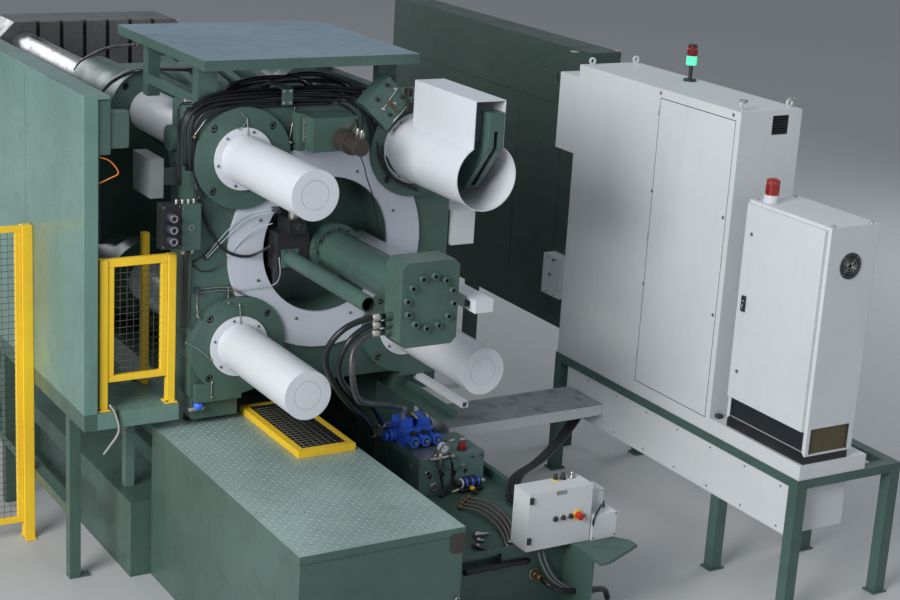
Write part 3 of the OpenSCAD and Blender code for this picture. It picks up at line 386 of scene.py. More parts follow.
# Near-black: painted shade in screw recesses, key holes, sockets, openings and the pipe's bore; also the
# gauge's own black marks and needle.
RECESS_SHADE_AND_MARK_BLACK = rubber("recess_shade_and_mark_black", (0.006, 0.006, 0.007), 0.8, 0.1)
RED_LENS = lens("red_lens", (0.34, 0.010, 0.010), 0.10)
GREEN_LENS = lens("green_lens", (0.10, 0.75, 0.42), 1.2)
DIM_LENS = lens("dim_red_lens", (0.22, 0.015, 0.015))

# The nodes of each material; the others are green.
NODES_OF = {
    RING_WHITE: ("ring_cover",),
    BLACK: ("prefill_block", "pilot_valve", "side_valve_block", "signal_tower"),
    WHITE: ("guide_rail", "tie_bar_sleeves", "bar_covers", "puller_cover"),
    STEEL: ("tie_bars",),
    SHADED_GREEN: ("tail_links", "crosshead", "helper_guard"),
    CAST: ("fixed_platen",),
    CABINET: ("terminal_boxes", "guard_switch_box", "cable_tray", "control_box", "control_box_door",
        "large_cabinet", "small_cabinet", "small_cabinet_door", "cabinet_plinth", "cable_duct"),
    YELLOW: ("mesh_fences", "tank_grating"),
    LIT_BLUE: ("valve_bank",),
    MANIFOLD_LIT_GREEN: ("valve_manifold",),
    HOSE: ("clamp_hoses",),
    DECK_GREEN: ("step_platform",),
    GUARD_GREEN: ("operator_guard",),
}
MATERIAL_OF = {name: material for material, names in NODES_OF.items() for name in names}


def paint_nodes():
    """Gives every CAD node its material."""
    for name, node in NODES.items():
        node.data.materials.clear()
        node.data.materials.append(MATERIAL_OF.get(name, GREEN))


def paint_inside(node, material, low, high):
    """Another material for the faces of a node whose middles lie in a box."""
    mesh = NODES[node].data
    if material.name not in mesh.materials:
        mesh.materials.append(material)
    index = list(mesh.materials).index(material)
    for face in mesh.polygons:
        if all(l <= c <= h for l, c, h in zip(low, face.center, high)):
            face.material_index = index


# Shapes

def across(axis):
    """Two unit vectors square to an axis."""
    side = axis.cross(Z if abs(axis.z) < 0.9 else Y).normalized()
    return side, axis.cross(side)


def smooth_route(points, steps=8):
    """Smooth line through the points."""
    line = [Vector(p) for p in points]
    ends = [line[0] * 2 - line[1]] + line + [line[-1] * 2 - line[-2]]
    out = []
    for a, b, c, d in zip(ends, ends[1:], ends[2:], ends[3:]):
        for k in range(steps):
            t = k / steps
            out.append(0.5 * ((2 * b) + (c - a) * t + (2 * a - 5 * b + 4 * c - d) * t ** 2
                              + (3 * b - a - 3 * c + d) * t ** 3))
    return out + [line[-1]]


class Piece:
    """Collects shapes into one mesh object."""

    def __init__(self, name):
        self.name = name
        self.points, self.faces, self.paints, self.rounds, self.materials = [], [], [], [], []

    def add(self, points, faces, material, is_round):
        if material not in self.materials:
            self.materials.append(material)
        first = len(self.points)
        self.points += [tuple(p) for p in points]
        self.faces += [[first + i for i in face] for face in faces]
        self.paints += [self.materials.index(material)] * len(faces)
        self.rounds += is_round if isinstance(is_round, list) else [is_round] * len(faces)

    def box(self, low, high, material):
        """Box with chamfered edges."""
        low, high = Vector(low), Vector(high)
        cut = min(0.003, 0.2 * min(high - low))
        self.block(low, X * (high.x - low.x), Y * (high.y - low.y), Z * (high.z - low.z), material, cut)

    def block(self, corner, a, b, c, material, cut=0.0):
        """Box on three edge vectors; its edges are chamfered by cut."""
        corner = Vector(corner)
        if cut <= 0:
            points = [corner + a * i + b * j + c * k for k, j, i in product((0, 1), repeat=3)]
            faces = [(0, 2, 3, 1), (4, 5, 7, 6), (0, 1, 5, 4), (2, 6, 7, 3), (0, 4, 6, 2), (1, 3, 7, 5)]
            self.add(points, faces, material, False)
            return
        units = [v.normalized() for v in (a, b, c)]
        lengths = [v.length for v in (a, b, c)]
        # Each corner is cut into three points; inset is the axis that keeps its full span.
        points, index = [], {}
        for ends in product((0, 1), repeat=3):
            for inset in range(3):
                spans = [end * length for end, length in zip(ends, lengths)]
                for axis in range(3):
                    if axis != inset:
                        spans[axis] += cut if ends[axis] == 0 else -cut
                index[(*ends, inset)] = len(points)
                points.append(corner + sum((u * s for u, s in zip(units, spans)), Vector()))
        faces = []
        for axis, side in product(range(3), (0, 1)):
            loop = []
            for turn in ((0, 0), (1, 0), (1, 1), (0, 1)):
                key = list(turn)
                key.insert(axis, side)
                loop.append(index[(*key, axis)])
            faces.append(loop)
        for axis in range(3):
            others = [n for n in range(3) if n != axis]
            for first, second in product((0, 1), repeat=2):
                loop = []
                for end, which in ((0, 0), (0, 1), (1, 1), (1, 0)):
                    key = [0, 0, 0]
                    key[axis] = end
                    key[others[0]] = first
                    key[others[1]] = second
                    loop.append(index[(*key, others[which])])
                faces.append(loop)
        faces += [[index[(*ends, n)] for n in range(3)] for ends in product((0, 1), repeat=3)]
        self.add(points, faces, material, False)

    def lathe(self, base, axis, profile, material, sides=24):
        """Turned form: profile of (radius, distance along the axis)."""
        base, axis = Vector(base), Vector(axis).normalized()
        u, v = across(axis)
        points, rings = [], []
        for radius, along in profile:
            rings.append(len(points))
            count = 1 if radius <= 0 else sides
            for k in range(count):
                turn = 2 * math.pi * k / sides
                outward = u * math.cos(turn) + v * math.sin(turn)
                points.append(base + axis * along + outward * max(radius, 0))
        faces, rounds = [], []
        for (r0, d0), (r1, d1), a, b in zip(profile, profile[1:], rings, rings[1:]):
            side = abs(d1 - d0) > abs(r1 - r0) * 0.6
            for k in range(sides):
                n = (k + 1) % sides
                if r0 <= 0:
                    faces.append((a, b + n, b + k))
                elif r1 <= 0:
                    faces.append((a + k, a + n, b))
                else:
                    faces.append((a + k, a + n, b + n, b + k))
                rounds.append(side)
        self.add(points, faces, material, rounds)

    def rod(self, start, end, radius, material, sides=20):
        """Closed round bar between two points with slightly broken edges."""
        start, end = Vector(start), Vector(end)
        length = (end - start).length
        cut = min(0.0015, radius * 0.15, length * 0.3)
        self.lathe(start, end - start, [(0, 0), (radius - cut, 0), (radius, cut), (radius, length - cut),
                                        (radius - cut, length), (0, length)], material, sides)

    def ring(self, base, axis, outer, inner, height, material, sides=28):
        """Washer or short tube."""
        profile = [(inner, 0), (outer, 0), (outer, height), (inner, height), (inner, 0)]
        self.lathe(base, axis, profile, material, sides)

    def tube(self, line, radius, material, sides=10):
        """Round sweep along a line of points."""
        line = [Vector(p) for p in line]
        tangents = []
        for i in range(len(line)):
            tangents.append((line[min(i + 1, len(line) - 1)] - line[max(i - 1, 0)]).normalized())
        u, v = across(tangents[0])
        points, faces = [], []
        for i, (p, t) in enumerate(zip(line, tangents)):
            u = (u - t * u.dot(t)).normalized()
            v = t.cross(u)
            for k in range(sides):
                turn = 2 * math.pi * k / sides
                points.append(p + (u * math.cos(turn) + v * math.sin(turn)) * radius)
            if i:
                a, b = (i - 1) * sides, i * sides
                faces += [(a + k, a + (k + 1) % sides, b + (k + 1) % sides, b + k) for k in range(sides)]
        rounds = [True] * len(faces) + [False, False]
        faces += [tuple(range(sides - 1, -1, -1)), tuple(range(len(points) - sides, len(points)))]
        self.add(points, faces, material, rounds)

    def wire(self, points, radius, material, sides=8, steps=6):
        """Smooth cable through a few points."""
        self.tube(smooth_route(points, steps), radius, material, sides)

    def recess(self, seat, axis, radius, narrow, top, floor):
        """Six-sided recess in a screw's head, near-black as painted shade."""
        self.lathe(seat, axis, [(radius, top), (narrow, floor[0]), (0, floor[1])], RECESS_SHADE_AND_MARK_BLACK, 6)

    def socket_bolt(self, seat, axis, radius, height, material=None):
        """Cap screw with a hexagon socket."""
        head = [(radius, 0), (radius, height * 0.86), (radius * 0.88, height), (radius * 0.52, height)]
        self.lathe(seat, axis, head, material or BOLT, 16)
        self.recess(seat, axis, radius * 0.52, radius * 0.5, height, (height * 0.45, height * 0.4))

    def hex_bolt(self, seat, axis, radius, height, material=None):
        """Hexagon head on a washer."""
        washer = [(radius * 1.35, 0), (radius * 1.35, height * 0.2), (0, height * 0.2)]
        wide = radius * 1.1
        head = [(wide, height * 0.2), (wide, height * 0.9), (radius * 0.95, height), (0, height)]
        self.lathe(seat, axis, washer, material or BOLT, 18)
        self.lathe(seat, axis, head, material or BOLT, 6)

    def screw(self, seat, axis, radius, height, material=None):
        """Low round head with a dark recess."""
        head = [(radius, 0), (radius * 0.8, height), (radius * 0.35, height)]
        self.lathe(seat, axis, head, material or BOLT, 12)
        self.recess(seat, axis, radius * 0.35, radius * 0.3, height, (height * 0.5, height * 0.5))

    def done(self, body="machine", replaces=()):
        """Makes the object and lets it ride on its body."""
        mesh = bpy.data.meshes.new(self.name)
        mesh.from_pydata(self.points, [], self.faces)
        for material in self.materials:
            mesh.materials.append(material)
        mesh.polygons.foreach_set("material_index", self.paints)
        mesh.polygons.foreach_set("use_smooth", self.rounds)
        mesh.update()
        made = bpy.data.objects.new(self.name, mesh)
        bpy.context.scene.collection.objects.link(made)
        shell = bmesh.new()
        shell.from_mesh(mesh)
        bmesh.ops.recalc_face_normals(shell, faces=shell.faces)
        shell.to_mesh(mesh)
        shell.free()
        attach(made, body)
        if replaces:
            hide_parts(*replaces)
        return made


def around(x, z, radius, degrees, y):
    """Place on a circle about (x, z) that faces the camera, at a depth y."""
    turn = math.radians(degrees)
    return Vector((x + radius * math.cos(turn), y, z + radius * math.sin(turn)))


def lock(piece, seat, outer, inner, height, axis=-X):
    """Round lock with a three-sided key hole, near-black as painted shade."""
    piece.ring(seat, axis, outer, inner, height, ZINC)
    piece.lathe(seat, axis, [(inner, 0), (inner, 0.003), (0, 0.003)], RECESS_SHADE_AND_MARK_BLACK, 3)


def hex_plug(piece, seat, outer, rim, socket, sides):
    """Round plug on a face towards the camera, with a hexagon socket near-black as painted shade."""
    piece.lathe(seat, -Y, [(outer, 0), (rim, 0.004), (socket, 0.004)], ZINC, sides)
    piece.lathe(seat, -Y, [(socket, 0.004), (socket - 0.001, 0.001), (0, 0.001)], RECESS_SHADE_AND_MARK_BLACK, 6)


def circle_points(centre, axis, radius, count, start=0.0):
    """Places spaced evenly on a circle."""
    u, v = across(Vector(axis))
    return [Vector(centre) + (u * math.cos(start + 2 * math.pi * k / count)
                              + v * math.sin(start + 2 * math.pi * k / count)) * radius for k in range(count)]


# Hoses

HOSE_R = 0.018
HOSE_ROUTES = {
    "hose_left": [
        (-0.231, -1.175, 2.005), (-0.365, -1.175, 2.005), (-0.505, -1.155, 1.945), (-0.575, -1.105, 1.8),
        (-0.47, -1.02, 1.59), (-0.205, -0.74, 1.325), (0.15, -0.35, 1.03), (0.4867, 0.185, 0.6979)],
    "hose_middle": [
        (-0.231, -1.175, 1.96), (-0.345, -1.175, 1.96), (-0.46, -1.18, 1.89), (-0.5, -1.14, 1.75),
        (-0.41, -1.02, 1.58), (-0.18, -0.78, 1.38), (0.1, -0.49, 1.2), (0.5051, 0.0874, 0.7949)],
    "hose_right": [
        (-0.231, -1.175, 1.912), (-0.345, -1.175, 1.912), (-0.445, -1.195, 1.83), (-0.455, -1.235, 1.69),
        (-0.38, -1.165, 1.51), (-0.13, -0.87, 1.36), (0.18, -0.53, 1.2), (0.6057, 0.016, 0.927)],
}


def cord_line(route, steps):
    """Straight runs joined by curves at each inner point, as the CAD draws them."""
    line = [Vector(p) for p in route]
    out = [line[0]]
    for a, b, c in zip(line, line[1:], line[2:]):
        start, end = (a + b) / 2, (b + c) / 2
        for k in range(steps + 1):
            t = k / steps
            point = start * (1 - t) ** 2 + b * 2 * t * (1 - t) + end * t ** 2
            if (point - out[-1]).length > 0.001:
                out.append(point)
    return out + [line[-1]]


def add_hoses():
    """The three hydraulic hoses."""
    for name, route in HOSE_ROUTES.items():
        line = cord_line(route, 8)
        piece = Piece(name)
        piece.tube(line, HOSE_R, SPECKLED if name == "hose_right" else HOSE, 16)
        made = piece.done(replaces=("clamp_hoses",))


# Fences, gratings and chequer plate

MESH_PITCH = 0.041
MESH_R = 0.0016
RAIL = 0.040


def mesh_field(piece, corner, along, up, width, height, pitch, wire, material):
    """Woven wires over a rectangle: corner, two directions, size."""
    along, up = Vector(along), Vector(up)
    depth = along.cross(up).normalized() * wire
    columns, rows = int(width / pitch), int(height / pitch)
    for i in range(1, columns):
        start = Vector(corner) + along * (i * width / columns)
        piece.tube([start, start + up * height], wire, material, 5)
    for j in range(1, rows):
        start = Vector(corner) + up * (j * height / rows) + depth * 1.6
        piece.tube([start, start + along * width], wire, material, 5)


def mesh_panel(piece, left, right, near, far, bottom, top, head, mesh_y):
    """Frame of square tube between two posts, with a top bar of height head, filled with mesh."""
    sill = bottom + RAIL
    piece.box((left, near, bottom), (right, far, sill), YELLOW)
    piece.box((left, near, top - head), (right, far, top), YELLOW)
    for x in (left, right - RAIL):
        piece.box((x, near, sill - 0.0005), (x + RAIL, far, top - head + 0.0005), YELLOW)
    mesh_field(piece, (left + RAIL, mesh_y, sill), X, Z, right - left - 2 * RAIL, top - head - sill,
               MESH_PITCH, MESH_R, MESH_WIRE)


def barrier(piece):
    """Barrier on the step, and the single post behind it."""
    low, top, post = 1.174, 2.11, 0.052
    x0, x1, y0, y1 = -1.456, -0.978, 0.048, 0.098
    for x in (x0, x1 - post):
        piece.box((x, y0, low), (x + post, y1, top), YELLOW)
        piece.box((x - 0.014, y0 - 0.014, low), (x + post + 0.014, y1 + 0.014, low + 0.012), YELLOW)
        for cx in (x - 0.004, x + post + 0.004):
            piece.hex_bolt((cx, y0 - 0.004, low + 0.012), Z, 0.007, 0.008)
    mesh_panel(piece, x0 + post, x1 - post, y0 + 0.008, y1 - 0.008, low + 0.175, top, 0.05, y0 + 0.025)
    piece.box((-1.056, 0.4, low), (-1.01, 0.446, top + 0.045), YELLOW)


def fence(piece):
    """Fence beside the machine."""
    x1, width = -1.561, 1.27
    x0, y0, top, post = x1 - width, 0.953, 2.105, 0.07
    for x in (x0, x1 - post):
        piece.box((x, y0, 0.0), (x + post, y0 + post, top), YELLOW)
        piece.box((x - 0.03 if x == x0 else x, y0 - 0.03, 0.0), (x + post, y0 + post + 0.03, 0.01), YELLOW)
    mesh_panel(piece, x0 + post, x1 - post, y0 + 0.015, y0 + 0.045, 0.12, top, 0.04, y0 + 0.03)


def add_fences():
    """Barrier and fence with real wire mesh."""
    piece = Piece("yellow_fences")
    barrier(piece)
    fence(piece)
    piece.done(replaces=("mesh_fences",))


def add_grating():
    """Black wire cloth in the yellow frame on the tank."""
    low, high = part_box("tank_grating")
    bar = 0.045
    piece = Piece("grating_wires")
    mesh_field(piece, (low.x + bar, low.y + bar, high.z - 0.012), X, Y, high.x - low.x - 2 * bar,
               high.y - low.y - 2 * bar, 0.038, 0.0030, MESH_WIRE)
    piece.done()


def chequer(piece, low, high, z, holes, material):
    """Raised lugs of a chequer plate, every other one turned."""
    pitch, length, width, height = 0.034, 0.0115, 0.0036, 0.0022
    columns, rows = int((high[0] - low[0]) / pitch), int((high[1] - low[1]) / pitch)
    for i in range(columns):
        for j in range(rows):
            x = low[0] + (i + 0.5) * pitch
            y = low[1] + (j + 0.5) * pitch
            if any(h[0] < x < h[2] and h[1] < y < h[3] for h in holes):
                continue
            turn = math.radians(45 if (i + j) % 2 else -45)
            a = Vector((math.cos(turn), math.sin(turn), 0))
            b = Vector((-a.y, a.x, 0))
            base = Vector((x, y, z))
            top = base + Z * height
            low_ends, high_ends = (a * length, b * width), (a * length * 0.6, b * width * 0.4)
            points = [middle + end * side for middle, ends in ((base, low_ends), (top, high_ends))
                      for side in (-1, 1) for end in ends]
            faces = [(0, 1, 5, 4), (1, 2, 6, 5), (2, 3, 7, 6), (3, 0, 4, 7), (4, 5, 6, 7)]
            piece.add(points, faces, material, True)


def add_chequer_plates():
    """Chequer pattern on the tank top and the step."""
    piece = Piece("tank_chequer")
    low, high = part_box("oil_tank")
    grate_low, grate_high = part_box("tank_grating")
    hole = (grate_low.x - 0.01, grate_low.y - 0.01, grate_high.x + 0.01, grate_high.y + 0.01)
    rim = 0.02
    # The tank's lugs in the lighter green, as painted glint and wear.
    chequer(piece, (low.x + rim, low.y + 0.03), (high.x - rim, high.y - rim), high.z, [hole], LUG_GLINT_AND_WEAR_GREEN)
    piece.done()
    piece = Piece("step_chequer")
    low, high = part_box("step_platform")
    barrier_foot = (-1.48, 0.03, -0.96, 0.12)
    near, far = (low.x + rim, low.y + rim), (high.x - rim, high.y - rim)
    chequer(piece, near, far, high.z, [barrier_foot], DECK_GREEN)
    piece.done()


FAR = 9.0
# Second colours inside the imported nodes: material and the box that holds the middles of its faces.
SECOND_COLOURS = {
    # The tank's top in the lighter green, as painted reflection.
    "oil_tank": [(TANK_TOP_PAINTED_REFLECTION, (-FAR, -FAR, 0.985), (FAR, FAR, FAR))],
    # The platform's top in the lighter green, as painted light.
    "top_platform": [(SKY_LIT_ROOF_GREEN, (-FAR, -FAR, 3.285), (FAR, FAR, FAR))],
    "adjusting_motor": [
        (BROWN, (-0.095, -0.43, 2.70), (0.055, -0.165, 2.88)),
        (ZINC, (-0.03, -0.415, 2.865), (0.01, -0.325, 2.945)),
    ],
    "pilot_valve": [(ZINC, (-0.35, -0.12, 2.312), (-0.22, 0.0, 2.40))],
    "side_valve_block": [(STEEL, (-1.085, -0.095, 2.19), (-1.03, -0.031, 2.40))],
    "way_channel": [(WHITE, (0.6895, -0.6, 1.12), (0.74, 0.065, 1.17))],
    # Under the grating, near-black as painted shade.
    "tank_grating": [(RECESS_SHADE_AND_MARK_BLACK, (-0.446, -0.636, 0.99), (-0.154, 0.126, 1.0449))],
    "valve_bank": [
        (CABLE, (0.60, -0.152, 0.72), (0.81, -0.1395, 0.77)),
        (ZINC, (0.475, 0.086, 0.73), (0.574, 0.2, 0.85)),
        (ZINC, (0.60, 0.02, 0.856), (0.70, 0.095, 0.95)),
        (ZINC, (0.72, -0.32, 0.69), (0.76, -0.28, 0.72)),
        (WHITE, (0.70, -0.32, 0.715), (0.78, -0.28, 0.79)),
        (DEEP_RED, (0.88, -0.29, 0.69), (0.945, -0.22, 0.745)),
    ],
    "valve_manifold": [(ZINC, (0.45, 0.15, 0.60), (0.562, 0.295, 0.72))],
    "control_box_door": [
        (BLACK, (0.85, -1.439, 0.66), (1.00, -1.4245, 0.71)),
        (YELLOW, (0.995, -1.431, 0.64), (1.07, -1.4245, 0.73)),
        (RED, (1.00, -1.466, 0.655), (1.06, -1.4305, 0.715)),
        (BLACK, (0.676, -1.437, 0.545), (0.702, -1.4245, 0.855)),
    ],
    "small_cabinet": [
        # Near-black band at the cabinet's foot: partly the dark plinth, partly painted shadow under the
        # cabinet.
        (BLACK, (2.3, -1.96, 1.0), (2.68, -1.2, 1.0595)),
        (WHITE, (2.33, -1.37, 2.501), (2.45, -1.25, 2.556)),
        (RED_LENS, (2.33, -1.37, 2.5565), (2.45, -1.25, 2.66)),
        # Fan opening behind the grille, near-black as painted shade.
        (RECESS_SHADE_AND_MARK_BLACK, (2.42, -1.9545, 2.19), (2.56, -1.935, 2.33)),
        (AMBER, (2.34, -1.9535, 1.071), (2.655, -1.935, 1.234)),
        (SMOKED, (2.3155, -1.925, 1.081), (2.33, -1.225, 1.209)),
    ],
    "small_cabinet_door": [(BLACK, (2.27, -1.30, 1.79), (2.2925, -1.25, 1.91))],
    "large_cabinet": [
        # Side vent's opening and the gap along the door, near-black as painted shade.
        (RECESS_SHADE_AND_MARK_BLACK, (2.553, -1.0595, 2.869), (2.689, -1.04, 2.991)),
        (RECESS_SHADE_AND_MARK_BLACK, (2.2935, -1.02, 0.95), (2.2945, -0.23, 3.05)),
    ],
    "terminal_boxes": [(BOX_GREY, (-2.0, 0.0, 1.9), (-0.9, 1.0, 2.7))],
    "cable_tray": [(SOILED, (1.0, 0.0, 0.699), (2.3, 0.6, 0.71))],
    "signal_tower": [
        (GREEN_LENS, (2.64, -0.08, 3.134), (2.74, 0.02, 3.1965)),
        (DIM_LENS, (2.64, -0.08, 3.1985), (2.74, 0.02, 3.2605)),
    ],
}


def paint_details():
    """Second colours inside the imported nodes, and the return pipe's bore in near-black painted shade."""
    for node, boxes in SECOND_COLOURS.items():
        for material, low, high in boxes:
            paint_inside(node, material, low, high)
    paint_bore("return_pipe", RECESS_SHADE_AND_MARK_BLACK, (-0.30, 2.06), 0.0415)


def paint_bore(node, material, centre, radius):
    """Another material for the inner wall of a tube along Y; centre is its (x, z)."""
    mesh = NODES[node].data
    mesh.materials.append(material)
    for face in mesh.polygons:
        reach = max(math.hypot(mesh.vertices[v].co.x - centre[0], mesh.vertices[v].co.z - centre[1])
                    for v in face.vertices)
        if reach < radius:
            face.material_index = len(mesh.materials) - 1


# Bolts

def add_bolts():
    """Cap screws of the clamp unit."""
    piece = Piece("clamp_bolts")
    for place in circle_points((0, -1.271, 2.093), Y, 0.152, 12, 0.13):
        piece.socket_bolt(place, -Y, 0.022, 0.022, GREEN)
    for place in circle_points((0, -0.11, CENTRE_Z), Y, 0.140, 12):
        piece.socket_bolt(place, -Y, 0.013, 0.015, GREEN)
    for sx in (-1, 1):
        for sz in (-1, 1):
            for degrees in (45, 135, 225, 315):
                seat = around(sx * HALF, CENTRE_Z + sz * HALF, 0.268, degrees, 0.039)
                piece.socket_bolt(seat, -Y, 0.019, 0.028)
    piece.done()
    piece = Piece("cover_screws")
    for sx, sz, start in ((-1, 1, 71), (-1, -1, 44), (1, -1, 44)):
        for k in range(6):
            seat = around(sx * HALF, CENTRE_Z + sz * HALF, 0.170, start + 60 * k, -0.014)
            piece.screw(seat, -Y, 0.009, 0.006)
    for degrees in (35, 125, 143, 237, 290, 340):
        piece.screw(around(HALF, CENTRE_Z + HALF, 0.205, degrees, -0.014), -Y, 0.009, 0.006)
    for k in range(8):
        piece.screw(around(0, CENTRE_Z, 0.495, 22 + 45 * k, 0.020), -Y, 0.010, 0.007)
    piece.done()


# Cables and tubes

